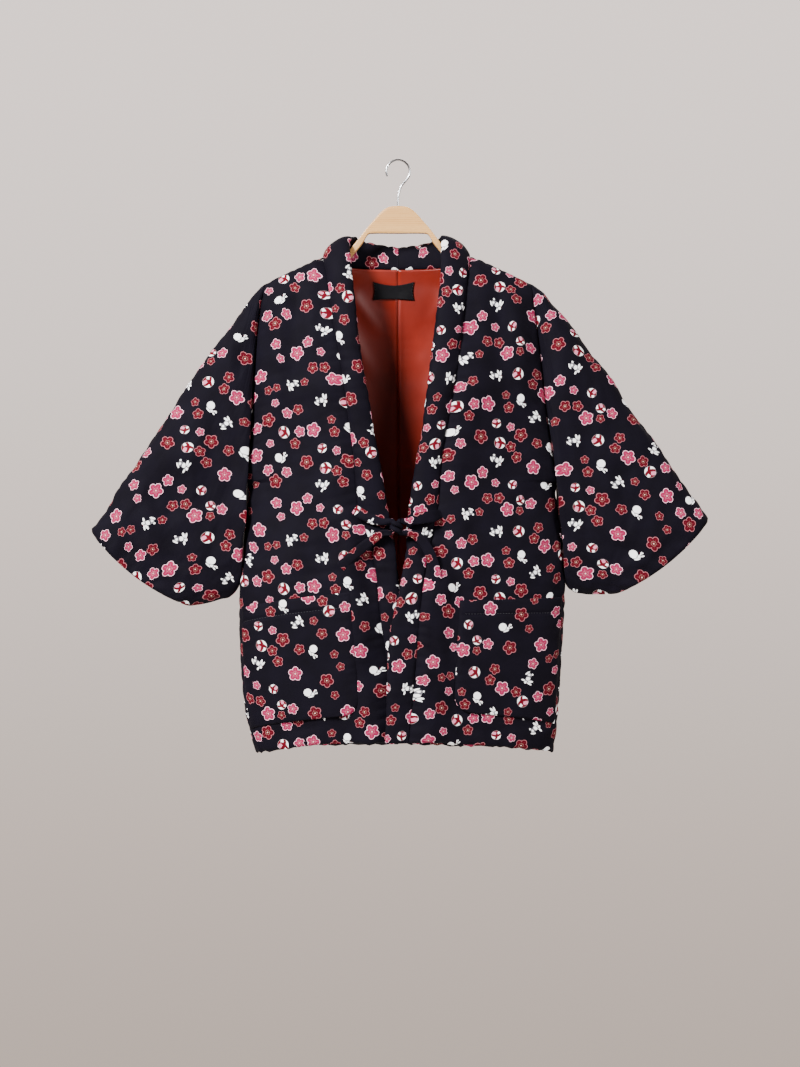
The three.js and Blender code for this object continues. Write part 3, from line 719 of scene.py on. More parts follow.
motifSteps = [
    # the motif's own axes: subtract its centre, divide by its radius, turn back
    ("fromU", "SUBTRACT", "u", "centreU"),
    ("fromV", "SUBTRACT", "v", "centreV"),
    ("partU", "DIVIDE", "fromU", "radius"),
    ("partV", "DIVIDE", "fromV", "radius"),
    ("cosTurn", "COSINE", "turn"),
    ("sinTurn", "SINE", "turn"),
    ("uCos", "MULTIPLY", "partU", "cosTurn"),
    ("vSin", "MULTIPLY", "partV", "sinTurn"),
    ("vCos", "MULTIPLY", "partV", "cosTurn"),
    ("uSin", "MULTIPLY", "partU", "sinTurn"),
    ("x", "ADD", "uCos", "vSin"),
    ("y", "SUBTRACT", "vCos", "uSin"),
    ("x2", "MULTIPLY", "x", "x"),
    ("y2", "MULTIPLY", "y", "y"),
    ("r2", "ADD", "x2", "y2"),
    ("r", "SQRT", "r2"),
    # five petals: the angle folded into one fifth of a turn
    ("angle", "ARCTAN2", "y", "x"),
    ("fifths", "MULTIPLY", "angle", 5 / (2 * math.pi)),
    ("shifted", "ADD", "fifths", 100.5),
    ("part", "FRACT", "shifted"),
    ("centred", "SUBTRACT", "part", 0.5),
    ("folded", "MULTIPLY", "centred", 2 * math.pi / 5),
    ("foldCos", "COSINE", "folded"),
    ("foldSin", "SINE", "folded"),
    ("petalX", "MULTIPLY", "r", "foldCos"),
    ("petalY", "MULTIPLY", "r", "foldSin"),
    ("petalAway", "ABSOLUTE", "petalY"),
    # petal: an ellipse 0.55 out, almost round
    ("outX", "SUBTRACT", "petalX", 0.55),
    ("longPart", "DIVIDE", "outX", 0.45),
    ("long2", "MULTIPLY", "longPart", "longPart"),
    ("widePart", "DIVIDE", "petalAway", 0.425),
    ("wide2", "MULTIPLY", "widePart", "widePart"),
    ("petal", "ADD", "long2", "wide2"),
    ("flowerIn", "SUBTRACT", 1.0, "petal"),
    ("coreIn", "SUBTRACT", 0.46, "r"),
    ("flowerEdge", "MAXIMUM", "flowerIn", "coreIn"),
    ("flowerMask", "MULTIPLY", "flowerEdge", 14),
    ("fillEdge", "SUBTRACT", 0.72, "petal"),
    ("fillCore", "SUBTRACT", 0.44, "r"),
    ("fillUnion", "MAXIMUM", "fillEdge", "fillCore"),
    ("fillMask", "MULTIPLY", "fillUnion", 9),
    # a pale vein down each petal and a cream middle with fine dots round it
    ("veinNear", "SUBTRACT", 0.05, "petalAway"),
    ("veinMask", "MULTIPLY", "veinNear", 24),
    ("veinOut", "SUBTRACT", 0.72, "petalX"),
    ("veinEnds", "MULTIPLY", "veinOut", 8),
    ("middleNear", "SUBTRACT", 0.11, "r"),
    ("middleMask", "MULTIPLY", "middleNear", 16),
    ("dotRing", "SUBTRACT", "r", 0.32),
    ("dotRing2", "MULTIPLY", "dotRing", "dotRing"),
    ("dotTurn", "MULTIPLY", "angle", 15.0),
    ("dotCos", "COSINE", "dotTurn"),
    ("dotGap", "SUBTRACT", 1.0, "dotCos"),
    ("dotGap2", "MULTIPLY", "dotGap", 0.004),
    ("dotAway", "ADD", "dotRing2", "dotGap2"),
    ("dotNear", "SUBTRACT", 0.0022, "dotAway"),
    ("dotMask", "MULTIPLY", "dotNear", 900),
    # thread ball: three crossing bands and an oval patch on a white disc
    ("ballIn", "SUBTRACT", 1.0, "r"),
    ("ballMask", "MULTIPLY", "ballIn", 14),
    ("bandBend", "MULTIPLY_ADD", "x2", 0.42, -0.18),
    ("bandA", "SUBTRACT", "y", "bandBend"),
    ("bandAAway", "ABSOLUTE", "bandA"),
    ("bandB", "MULTIPLY_ADD", "y2", 0.5, -0.14),
    ("bandBFrom", "ADD", "x", "bandB"),
    ("bandBAway", "ABSOLUTE", "bandBFrom"),
    ("bandC", "SUBTRACT", "bandA", 1.0),
    ("bandCAway", "ABSOLUTE", "bandC"),
    ("bandCThin", "ADD", "bandCAway", 0.04),
    ("bandAC", "MINIMUM", "bandAAway", "bandCThin"),
    ("bandNear", "MINIMUM", "bandAC", "bandBAway"),
    ("bandIn", "SUBTRACT", 0.31, "bandNear"),
    ("bandMask", "MULTIPLY", "bandIn", 12),
    ("patchX", "ADD", "x", 0.38),
    ("patchY", "SUBTRACT", "y", 0.42),
    ("patchX2", "MULTIPLY", "patchX", "patchX"),
    ("patchY2", "MULTIPLY", "patchY", "patchY"),
    ("patchWide", "MULTIPLY", "patchY2", 1.9),
    ("patchAway", "ADD", "patchX2", "patchWide"),
    ("patchIn", "SUBTRACT", 0.19, "patchAway"),
    ("patchMask", "MULTIPLY", "patchIn", 60),
]
rabbitSteps = [
    ("isCurled", "COMPARE", "kind", 5.0, 0.4),
    ("isRunner", "COMPARE", "kind", 4.0, 0.4),
    ("isBall", "COMPARE", "kind", 3.0, 0.4),
    ("isRed", "COMPARE", "kind", 2.0, 0.4),
    ("isPink", "COMPARE", "kind", 1.0, 0.4),
    ("isFlower", "ADD", "isRed", "isPink"),
    ("runnerAway", "MULTIPLY", "runner", "isRunner"),
    ("curledAway", "MULTIPLY", "curled", "isCurled"),
    ("rabbitAway", "ADD", "runnerAway", "curledAway"),
    ("isRabbit", "ADD", "isRunner", "isCurled"),
    ("rabbitIn", "SUBTRACT", 1.0, "rabbitAway"),
    ("rabbitSharp", "MULTIPLY", "rabbitIn", 9),
    ("earHigh", "SUBTRACT", "y", 0.66),
    ("earSharp", "MULTIPLY", "earHigh", 14),
    ("eyeX", "SUBTRACT", "x", 0.52),
    ("eyeY", "SUBTRACT", "y", 0.22),
    ("eyeX2", "MULTIPLY", "eyeX", "eyeX"),
    ("eyeY2", "MULTIPLY", "eyeY", "eyeY"),
    ("eyeAway", "ADD", "eyeX2", "eyeY2"),
    ("eyeIn", "SUBTRACT", 0.0035, "eyeAway"),
    ("eyeSharp", "MULTIPLY", "eyeIn", 900),
    # a grey line where two parts of the rabbit meet
    ("runnerGap", "SUBTRACT", "runnerNext", "runner"),
    ("curledGap", "SUBTRACT", "curledNext", "curled"),
    ("runnerLine", "SUBTRACT", 0.42, "runnerGap"),
    ("curledLine", "SUBTRACT", 0.38, "curledGap"),
    ("runnerSharp", "MULTIPLY", "runnerLine", 9),
    ("curledSharp", "MULTIPLY", "curledLine", 9),
]
# each mask keeps inside what it lies on
insideSteps = [
    ("veinMask", "MULTIPLY", "veinMask", "veinEnds"),
    ("bandMask", "MULTIPLY", "bandMask", "ballMask"),
    ("patchMask", "MULTIPLY", "patchMask", "ballMask"),
    ("runnerSharp", "MULTIPLY", "runnerSharp", "rabbitSharp"),
    ("curledSharp", "MULTIPLY", "curledSharp", "rabbitSharp"),
    ("earSharp", "MULTIPLY", "earSharp", "rabbitSharp"),
]
maskRows = [
    # mask, the kinds it counts for, colour, strength
    ("rabbitSharp", "isRabbit", "white", 1.0),
    ("curledSharp", "isCurled", "contour", 0.95),
    ("runnerSharp", "isRunner", "contour", 0.95),
    ("earSharp", "isCurled", "earPink", 0.8),
    ("eyeSharp", "isRabbit", "crimson", 0.9),
    ("ballMask", "isBall", "white", 1.0),
    ("bandMask", "isBall", "crimson", 1.0),
    ("patchMask", "isBall", "pinkVein", 1.0),
    ("flowerMask", "isPink", "pinkEdge", 1.0),
    ("flowerMask", "isRed", "redEdge", 1.0),
    ("fillMask", "isPink", "pink", 1.0),
    ("fillMask", "isRed", "red", 1.0),
    ("veinMask", "isPink", "pinkVein", 0.35),
    ("veinMask", "isRed", "redVein", 0.45),
    ("middleMask", "isFlower", "cream", 1.0),
    ("dotMask", "isFlower", "cream", 0.5),
]


def printedCotton():
    # printed cotton over wadding: matt, faintly napped, with a plain weave
    material, tree = newMaterial("printedCotton")
    uv = addNode(tree, "UVMap", uv_map="clothMap").outputs[0]
    held = addNode(tree, "Attribute", attribute_name="motifPlace").outputs["Vector"]
    look = addNode(tree, "Attribute", attribute_name="motifLook").outputs["Vector"]
    values = {}
    for source, names in ((uv, ("u", "v")), (held, ("centreU", "centreV", "turn")), (look, ("kind", "radius"))):
        values.update(zip(names, addNode(tree, "SeparateXYZ", {0: source}).outputs))
    runSteps(tree, values, motifSteps)
    place = addNode(tree, "CombineXYZ", {0: values["x"], 1: values["y"]}).outputs[0]
    values["runner"], values["runnerNext"] = unionOfEllipses(tree, place, runnerShape)
    values["curled"], values["curledNext"] = unionOfEllipses(tree, place, curledShape)
    runSteps(tree, values, rabbitSteps)
    for name in sorted({mask for mask, *_ in maskRows} | {"veinEnds"}):
        values[name] = addNode(tree, "Clamp", {0: values[name]}).outputs[0]
    runSteps(tree, values, insideSteps)
    # cloth ground: slightly uneven dye, then the motifs over it
    faded = addNode(tree, "TexNoise", {"Vector": uv, "Scale": 28.0, "Detail": 4.0}).outputs["Fac"]
    tones = {0: faded, 6: toLinear(printLook["cloth"]), 7: toLinear(printLook["clothFaded"])}
    ground = addNode(tree, "Mix", tones, data_type="RGBA").outputs[2]
    for mask, kind, colour, strength in maskRows:
        runSteps(tree, values, [("amount", "MULTIPLY", mask, kind), ("amount", "MULTIPLY", "amount", strength)])
        tones = {0: values["amount"], 6: ground, 7: toLinear(printLook[colour])}
        ground = addNode(tree, "Mix", tones, data_type="RGBA").outputs[2]
    # plain weave: two sets of threads, one across the other, with slubs, as a small bump
    frequency = 2 * math.pi / (printLook["threadSpacing"] * millimetre)
    values["slub"] = addNode(tree, "TexNoise", {"Vector": uv, "Scale": 420.0, "Detail": 3.0}).outputs["Fac"]
    weaveSteps = [
        ("warp", "MULTIPLY", "u", frequency),
        ("weft", "MULTIPLY", "v", frequency),
        ("warpWave", "SINE", "warp"),
        ("weftWave", "SINE", "weft"),
        ("weave", "MULTIPLY", "warpWave", "weftWave"),
        ("height", "MULTIPLY_ADD", "weave", 0.5, "slub"),
    ]
    height = runSteps(tree, values, weaveSteps)["height"]
    inputs = {
        "Base Color": ground,
        "Roughness": printLook["roughness"],
        "IOR": 1.46,
        "Specular IOR Level": 0.055,
        "Sheen Weight": 0.012,
        "Sheen Roughness": 0.5,
        "Sheen Tint": toLinear("#CFCBD6"),
        "Normal": addNode(tree, "Bump", {"Height": height, "Distance": 0.00012, "Strength": 0.6}).outputs[0],
    }
    finishMaterial(tree, addNode(tree, "BsdfPrincipled", inputs))
    return material


# a material that wanders by noise between two tones, with a bump where relief makes one
def tonedMaterial(name, tones, scale, detail, look, relief=None):
    material, tree = newMaterial(name)
    place = addNode(tree, "TexCoord").outputs["Object"]
    cloud = addNode(tree, "TexNoise", {"Vector": place, "Scale": scale, "Detail": detail}).outputs["Fac"]
    mixed = {0: cloud, 6: toLinear(tones[0]), 7: toLinear(tones[1])}
    inputs = {"Base Color": addNode(tree, "Mix", mixed, data_type="RGBA").outputs[2], **look}
    if relief:
        inputs["Normal"] = relief(tree, place)
    finishMaterial(tree, addNode(tree, "BsdfPrincipled", inputs))
    return material


# long floats of thread, which give a soft sheen across them
def satinFloats(tree, place):
    stretched = addNode(tree, "Mapping", {"Vector": place, "Scale": (2200, 2200, 60)}).outputs[0]
    height = addNode(tree, "TexNoise", {"Vector": stretched, "Scale": 1.0, "Detail": 2.0}).outputs["Fac"]
    return addNode(tree, "Bump", {"Height": height, "Distance": 0.00006, "Strength": 0.5}).outputs[0]


# fine ribs across a woven label
def labelRibs(tree, place):
    parts = addNode(tree, "SeparateXYZ", {0: place})
    steps = [
        ("rib", "MULTIPLY", "z", 2 * math.pi / 0.0009),
        ("ribWave", "SINE", "rib"),
        ("thread", "MULTIPLY", "x", 2 * math.pi / 0.0012),
        ("threadWave", "SINE", "thread"),
        ("weave", "MULTIPLY_ADD", "threadWave", 0.35, "ribWave"),
    ]
    height = runSteps(tree, {"x": parts.outputs[0], "z": parts.outputs[2]}, steps)["weave"]
    return addNode(tree, "Bump", {"Height": height, "Distance": 0.0001, "Strength": 0.5}).outputs[0]


satinLook = {
    "Roughness": 0.38,
    "IOR": 1.47,
    "Anisotropic": 0.5,
    "Sheen Weight": 0.25,
    "Sheen Roughness": 0.35,
    "Sheen Tint": toLinear("#E9A08C"),
}
labelLook = {"Roughness": 0.62, "IOR": 1.5, "Specular IOR Level": 0.12}
woodLook = {"pale": "#D8A868", "dark": "#B9803F", "ringSpacing": 3.2, "roughness": 0.42}


def varnishedBeech():
    # beech or lotus wood, sanded and lacquered: pale, faint grain along the arms, soft gloss
    material, tree = newMaterial("varnishedBeech")
    place = addNode(tree, "TexCoord").outputs["Object"]
    values = {"z": addNode(tree, "SeparateXYZ", {0: place}).outputs[2]}
    for name, scale, detail, rough in (("wander", (9, 90, 90), 5.0, 0.6), ("flecks", (140, 1300, 1300), 2.0, 0.5)):
        mapped = addNode(tree, "Mapping", {"Vector": place, "Scale": scale}).outputs[0]
        noise = {"Vector": mapped, "Scale": 1.0, "Detail": detail, "Roughness": rough}
        values[name] = addNode(tree, "TexNoise", noise).outputs["Fac"]
    steps = [
        ("ringZ", "MULTIPLY", "z", 2 * math.pi / (woodLook["ringSpacing"] * millimetre)),
        ("ringShift", "MULTIPLY_ADD", "wander", 9.0, "ringZ"),
        ("ringWave", "SINE", "ringShift"),
        ("ring", "MULTIPLY_ADD", "ringWave", 0.16, "wander"),
        ("fleck", "MULTIPLY_ADD", "flecks", 0.35, "ring"),
        ("grain", "SUBTRACT", "fleck", 0.2),
    ]
    runSteps(tree, values, steps)
    bump = addNode(tree, "Bump", {"Height": values["fleck"], "Distance": 0.00008, "Strength": 0.35})
    mixed = {0: values["grain"], 6: toLinear(woodLook["pale"]), 7: toLinear(woodLook["dark"])}
    inputs = {
        "Base Color": addNode(tree, "Mix", mixed, data_type="RGBA", clamp_factor=True).outputs[2],
        "Roughness": woodLook["roughness"],
        "IOR": 1.5,
        "Coat Weight": 0.35,
        "Coat Roughness": 0.2,
        "Normal": bump.outputs[0],
    }
    finishMaterial(tree, addNode(tree, "BsdfPrincipled", inputs))
    return material


def platedSteel():
    # nickel-plated wire: bright, with faint drawing lines
    material, tree = newMaterial("platedSteel")
    place = addNode(tree, "TexCoord").outputs["Object"]
    lines = addNode(tree, "TexNoise", {"Vector": place, "Scale": 900.0, "Detail": 2.0})
    rough = addNode(tree, "MapRange", {0: lines.outputs["Fac"], 3: 0.16, 4: 0.3})
    inputs = {"Base Color": toLinear("#B9BABC"), "Metallic": 1.0, "Roughness": rough.outputs[0]}
    finishMaterial(tree, addNode(tree, "BsdfPrincipled", inputs))
    return material


def makeFloor(material):
    count = 96
    angle = np.linspace(0, 2 * math.pi, count, endpoint=False)
    radius = stageSettings["floorRadius"]
    rim = np.stack([radius * np.cos(angle), radius * np.sin(angle), np.full(count, stageSettings["floorHeight"])], -1)
    mesh = bpy.data.meshes.new("floor")
    mesh.from_pydata(rim.tolist(), [], [list(range(count))])
    mesh.materials.append(material)
    floor = bpy.data.objects.new("floor", mesh)
    bpy.context.collection.objects.link(floor)


makeCamera()
makeLights()
makeWorld()
cotton = printedCotton()
# acetate satin, a black polyester label, twisted polyester thread and a matt studio floor
satin = tonedMaterial("liningSatin", ("#5E120B", "#8C2413"), 14.0, 3.0, satinLook, satinFloats)
labelCloth = tonedMaterial("wovenLabel", ("#060508", "#0E0D11"), 160.0, 3.0, labelLook, labelRibs)
beech = varnishedBeech()
steel = platedSteel()
thread = tonedMaterial("sewingThread", ("#0A090D", "#1B1920"), 1500.0, 1.0, {"Roughness": 0.5, "IOR": 1.5})
makeFloor(tonedMaterial("paintedFloor", (stageSettings["floorHex"], "#DEDAD5"), 3.0, 4.0, {"Roughness": 0.85}))
print("camera, lights and materials made")


# fronts and backs
panels = {
    "rows": 350,
    "columns": {"front": 88, "back": 108},
    "innerStep": 4,
    "wadding": 2.6,  # soft unevenness of the padded skin
    "waddingCell": 64,
    "seamDepth": 6.8,
    "seamWidth": 25,
    "sink": {"collar": 4.6, "arm": 7.0},  # how far the whole wall goes in at a seam
    "swell": 5.5,  # and how far it stands out beside one
    "ruffle": 0.42,
    "ruffleSpacing": 15,
    "tuck": 8,  # how far the fronts reach under the collar band
    "facing": 38,  # the print turns in at the hem this far
    "gatherHeight": 3.2,
    "gatherSpacing": 19,
    "gatherReach": 24,
    "hemRound": 6.5,
    "armRidge": (38, 20),  # the ridge beside a seam: how far from it, and how wide
    "collarRidge": (34, 18),
    "pucker": 1.9,
    "hemRoll": 2.2,
    "hemRuffle": 3.4,
    "sideWave": 2.0,
    "seed": {"right front": 21, "left front": 34, "right back": 55, "left back": 72},
    "uvStart": {"right front": (310, 40), "left front": (40, 0), "right back": (95, 500), "left back": (700, 130)},
}
# soft creases: x1, z1, x2, z2, width, height; uneven in length, depth and spacing
creases = {
    "right front": [
        (120, -175, 112, -330, 13, -2.2),
        (150, -190, 168, -380, 15, -2.6),
        (176, -205, 196, -330, 10, 1.8),
        (205, -250, 190, -470, 14, -2.4),
        (218, -470, 170, -560, 13, -2.6),
        (226, -520, 190, -640, 16, 2.0),
        (84, -505, 150, -560, 12, -1.8),
        (72, -556, 128, -640, 13, -2.4),
        (64, -590, 92, -700, 11, 1.6),
        (44, -640, 36, -860, 12, -2.2),
        (150, -560, 168, -670, 16, 1.8),
        (228, -700, 214, -850, 14, -2.0),
        (110, -870, 170, -884, 9, -1.6),
    ],
    "left front": [
        (112, -172, 118, -320, 13, -2.2),
        (146, -190, 160, -360, 15, -2.6),
        (178, -208, 200, -360, 11, 1.8),
        (206, -250, 196, -480, 14, -2.4),
        (226, -480, 176, -575, 13, -2.6),
        (236, -530, 200, -650, 15, 2.0),
        (80, -500, 140, -540, 12, -1.8),
        (70, -552, 92, -660, 12, -2.6),
        (98, -560, 150, -670, 14, 1.6),
        (51, -689, 56, -836, 11, -2.4),
        (30, -700, 40, -880, 12, 1.6),
        (238, -700, 226, -860, 14, -2.0),
        (100, -872, 160, -888, 9, -1.6),
    ],
    "right back": [
        (120, -180, 130, -420, 22, -3.0),
        (180, -210, 150, -520, 18, 2.6),
        (60, -190, 40, -430, 20, -2.4),
        (200, -560, 120, -700, 20, -2.6),
        (30, -500, 60, -760, 18, -2.4),
        (160, -700, 150, -880, 18, 2.4),
    ],
    "left back": [
        (116, -180, 124, -400, 22, -3.0),
        (178, -214, 150, -500, 18, 2.6),
        (50, -196, 34, -450, 20, -2.4),
        (206, -560, 130, -690, 20, -2.6),
        (28, -520, 50, -780, 18, -2.4),
        (170, -700, 158, -880, 18, 2.4),
    ],
}
collarTable = [  # z, then the seam and the free edge on the right and on the left, from the middle
    (-148, 116, 74, 111, 67),
    (-190, 109, 71, 107, 66),
    (-260, 99, 62, 100, 56),
    (-320, 88, 53, 92, 48),
    (-400, 77, 40, 78, 39),
    (-460, 69, 29, 68, 29),
    (-540, 61, 15, 61, 16),
    (-590, 44, 6, 51, 13),
    (-650, 33, -1, 40, 5),
    (-715, 27, -13, 33, -10),
    (-770, 18, -22, 29, -16),
    (-910, 12, -28, 15, -20),
]
collarSeam = {"right": curveThrough(collarTable, 1), "left": curveThrough(collarTable, 3)}
collarEdge = {"right": curveThrough(collarTable, 2), "left": curveThrough(collarTable, 4)}


def topHeight(side, face, x, inset):
    shoulder = shoulderLine(x) - inset
    if face == "front":
        return shoulder
    half = body["neckHalf"][side]
    return np.where(x < half, np.minimum(neckLine(np.minimum(x / half, 1)), shoulder), shoulder)


def hemHeight(side, face, x):
    part = np.clip(x / halfWidth[side](body["hem"]["side"]), 0, 1)
    return mix(body["hem"][face], body["hem"]["side"], part**2)


# x of a column at a height: equal arcs from the inner edge to the side
def columnX(side, face, column, z, inset):
    reach = reachAt(side, z, inset)
    start = arcPart(collarSeam[side](z), reach) if face == "front" else 0
    return reach * np.sin(math.pi / 2 * mix(start, 1, column))


# x and z on a panel at a part (0 to 1) across and a part down from its top edge to the hem
def panelPlace(side, face, column, down, inset):
    end = body["shoulderHalf"]
    start = arcPart(body["neckHalf"][side], end) if face == "front" else 0
    topX = end * np.sin(math.pi / 2 * mix(start, 1, column))
    top = topHeight(side, face, topX, inset)
    low = hemHeight(side, face, columnX(side, face, column, body["hem"]["side"], inset))
    z = mix(top, low, down)
    return columnX(side, face, column, z, inset), z


# patch pockets, on the fronts
pockets = {
    "thickness": 3.4,
    "standoff": 0.6,
    "corner": 30,
    "outer": 0.85,
    "rows": 92,
    "columns": 84,
    "innerStep": 4,
    "size": {  # height of the top's inner and outer end, of the low edge's, and the inner edge's x
        "right": (-667, -694, -858, -880, 71, 57),
        "left": (-680, -676, -853, -872, 94, 85),
    },
    "gape": 1.6,
    "puff": 1.2,
    "wadding": 1.1,
    "waddingCell": 48,
    "hemSeam": 22,
    "hemGroove": (1.3, 2.6),  # depth and width of the sewn line under the top fold
    "seed": {"right": 171, "left": 188},
    "uvStart": {"right": (410, 75), "left": (-130, 455)},
}


# 1 where a pocket covers the front, falling to 0 over 14 mm outside it
def underPocket(side, x, z):
    topInner, topOuter, lowInner, lowOuter, innerTop, innerLow = pockets["size"][side]
    high, low = max(topInner, topOuter), min(lowInner, lowOuter)
    inside = smoothStep(min(innerTop, innerLow) - 14, min(innerTop, innerLow), x)
    return inside * smoothStep(low - 14, low, z) * (1 - smoothStep(high, high + 14, z))


# the cloth laid flat, as tables over x and z: arc lengths over the skin, across from the middle and
# up from the chest, so that the print is neither sheared nor stretched
def flatTables(side, face):
    x, z = np.linspace(0, 264, 133), np.linspace(-920, -130, 396)
    depth = bodyDepth(side, face, x[None], z[:, None], 0)
    stepX = np.hypot(np.diff(x)[None], np.diff(depth, axis=1))
    stepZ = np.hypot(np.diff(z)[:, None], np.diff(depth, axis=0))
    flatX = np.concatenate([np.zeros((len(z), 1)), np.cumsum(stepX, axis=1)], axis=1)
    flatZ = np.concatenate([np.zeros((1, len(x))), np.cumsum(stepZ, axis=0)], axis=0)
    middle = np.searchsorted(z, -480)
    return flatX, flatZ - flatZ[middle], x, z


def lookUp(table, x, z, xs, zs):
    a = np.clip((x - xs[0]) / (xs[1] - xs[0]), 0, len(xs) - 1.001)
    b = np.clip((z - zs[0]) / (zs[1] - zs[0]), 0, len(zs) - 1.001)
    i, j = a.astype(int), b.astype(int)
    s, t = a - i, b - j
    return mix(mix(table[j, i], table[j, i + 1], s), mix(table[j + 1, i], table[j + 1, i + 1], s), t)


def flatPlace(side, face, x, z, uvStart):
    flatX, flatZ, xs, zs = flatTables(side, face)
    flatU = sideSigns[side] * lookUp(flatX, x, z, xs, zs) + uvStart[0]
    return np.stack([flatU, lookUp(flatZ, x, z, xs, zs) + uvStart[1]], -1)


def panelSkins(side, face):
    column = np.linspace(0, 1, panels["columns"][face] + 1)
    column, down = np.meshgrid(column, np.linspace(0, 1, panels["rows"] + 1))
    x, z = panelPlace(side, face, column, down, 0)
    innerX, innerZ = panelPlace(side, face, column, down, body["padding"])
    return x, z, bodyPoint(side, face, x, z, 0), bodyPoint(side, face, innerX, innerZ, body["padding"])


# the panel's wall: the frame's skins, moved along the line between them by seams, gathers,
# creases and wadding; both skins close to a rounded rim at every edge
def panelPiece(side, face, settled):
    key = side + " " + face
    seed = panels["seed"][key]
    x, z, outer, inner = panelSkins(side, face)
    outward = unit(outer - inner)
    across = arcLength(outer, 1)
    along = arcLength(outer, 0)
    if face == "front":
        tuck = panels["tuck"] * (1 - smoothStep(0, 14, across)) * sideSigns[side]
        outer[..., 0] -= tuck
        inner[..., 0] -= tuck
    toSide = across[:, -1:] - across
    toHem = along[-1:, :] - along
    lift = panels["wadding"] * waddingNoise(across, along, panels["waddingCell"], seed) + settled[key]
    lift += creaseHeight(creases[key], x, z)
    if face == "front":
        lift = mix(lift, np.minimum(lift, 0), underPocket(side, x, z))
    armOpen = smoothStep(body["armLow"] - 60, body["armLow"] + 20, z)
    spacing, height, reach = panels["gatherSpacing"], panels["gatherHeight"], panels["gatherReach"]
    lift += seamGathers(across, along, height * 0.8, spacing, reach, seed + 1)
    lift += seamGathers(toSide, along, height, spacing * 1.15, reach, seed + 2) * mix(0.5, 1, armOpen)
    lift += seamGathers(along, across, height * 0.7, spacing * 1.3, reach, seed + 3)
    lift += seamGathers(toHem, across, height * 0.9, spacing * 1.2, reach * 0.8, seed + 4)
    depth, width = panels["seamDepth"], panels["seamWidth"]
    calm = smoothStep(0, 14, across) * smoothStep(0, 14, toSide) * smoothStep(0, 12, along)
    acrossRuffled = ruffled(across, along, panels["ruffleSpacing"], panels["ruffle"], seed + 5)
    sideRuffled = ruffled(toSide, along, panels["ruffleSpacing"] * 1.1, panels["ruffle"], seed + 6)
    armOpen = armOpen * smoothStep(0, 60, along)
    # both skins go in at a seam, but never past the middle of the jacket
    innerRoom = np.clip(np.abs(inner[..., 1]) - 1.5, 0, None) * 0.8
    sinkCollar = np.minimum(panels["sink"]["collar"], innerRoom) * (face == "front")
    sinkArm = np.minimum(panels["sink"]["arm"] * armOpen * armDeep(z), innerRoom)
    fall = np.maximum.reduce(
        [
            seamFall(acrossRuffled, depth * 0.45 if face == "back" else depth + sinkCollar, width * 0.85),
            seamFall(sideRuffled, depth * mix(0.35, 1, armOpen) + sinkArm, width),
            seamFall(along, depth * 0.4, 12),
            seamFall(toHem, rimDepth, panels["hemRound"]),
        ]
    )
    rise = np.minimum(seamFall(across, -sinkCollar, width), seamFall(toSide, -sinkArm, width))
    closing = np.maximum(seamFall(along, 2.6, 12), seamFall(toHem, rimDepth, panels["hemRound"]))
    rise = np.where(closing > 0.01, closing + rise * 0.5, rise)
    away, width = panels["armRidge"]
    beside = np.exp(-(((toSide - away) / width) ** 2)) * armOpen
    if face == "front":
        away, width = panels["collarRidge"]
        beside = np.maximum(beside, 0.6 * np.exp(-(((across - away) / width) ** 2)) * smoothStep(0, 60, along))
    lift += panels["swell"] * beside
    outer = outer + outward * (lift * calm - fall)[..., None]
    inner = inner + outward * rise[..., None]
    # the shoulder seam puckers upwards, most beside the neck
    pucker = scallops(x, 13.5, 0.5, 0, 30, 401, 0.5) * mix(1, 0.55, smoothStep(120, 190, x))
    wave = panels["pucker"] * pucker * (1.1 + 0.9 * softNoise(x, 9, 37, 405)) * np.exp(-along / 14)
    # the hem rolls gently up and down
    wave += panels["hemRoll"] * softNoise(across, 5, 34, seed + 5) * np.exp(-toHem / 26)
    ruffle = scallops(across, 21, 0.6, 15, 40, seed + 8) * (0.7 + 0.5 * softNoise(across, 25, 30, seed + 9))
    wave += panels["hemRuffle"] * ruffle * np.exp(-toHem / 9)
    # and the side folds are not quite straight
    sideWave = scallops(along, 31, 0.6, 35, 50, seed + 10) * np.exp(-toSide / 16) * (1 - armOpen)
    for skin in (outer, inner):
        skin[..., 0] += panels["sideWave"] * sideWave * sideSigns[side]
        skin[..., 2] += wave
    flat = flatPlace(side, face, x, z, panels["uvStart"][key])
    satinRows = int(panels["rows"] * (1 - panels["facing"] / body["length"]))
    name = f"{face}_{side}_cloth"
    piece = twoSkinShell(name, outer, inner, flat, panels["innerStep"], [cotton, satin], satinRows)
    return finishPiece(piece, f"{face}_{side}", "printed_cloth")


panelNets = {}
for side in sideSigns:
    for face in faceSigns:
        _, _, outer, inner = panelSkins(side, face)
        panelNets[side + " " + face] = (outer, unit(outer - inner), (5, 4), False)
panelLift = paddedLift(panelNets)
for side in sideSigns:
    for face in faceSigns:
        piece = panelPiece(side, face, panelLift)
print("fronts and backs made")


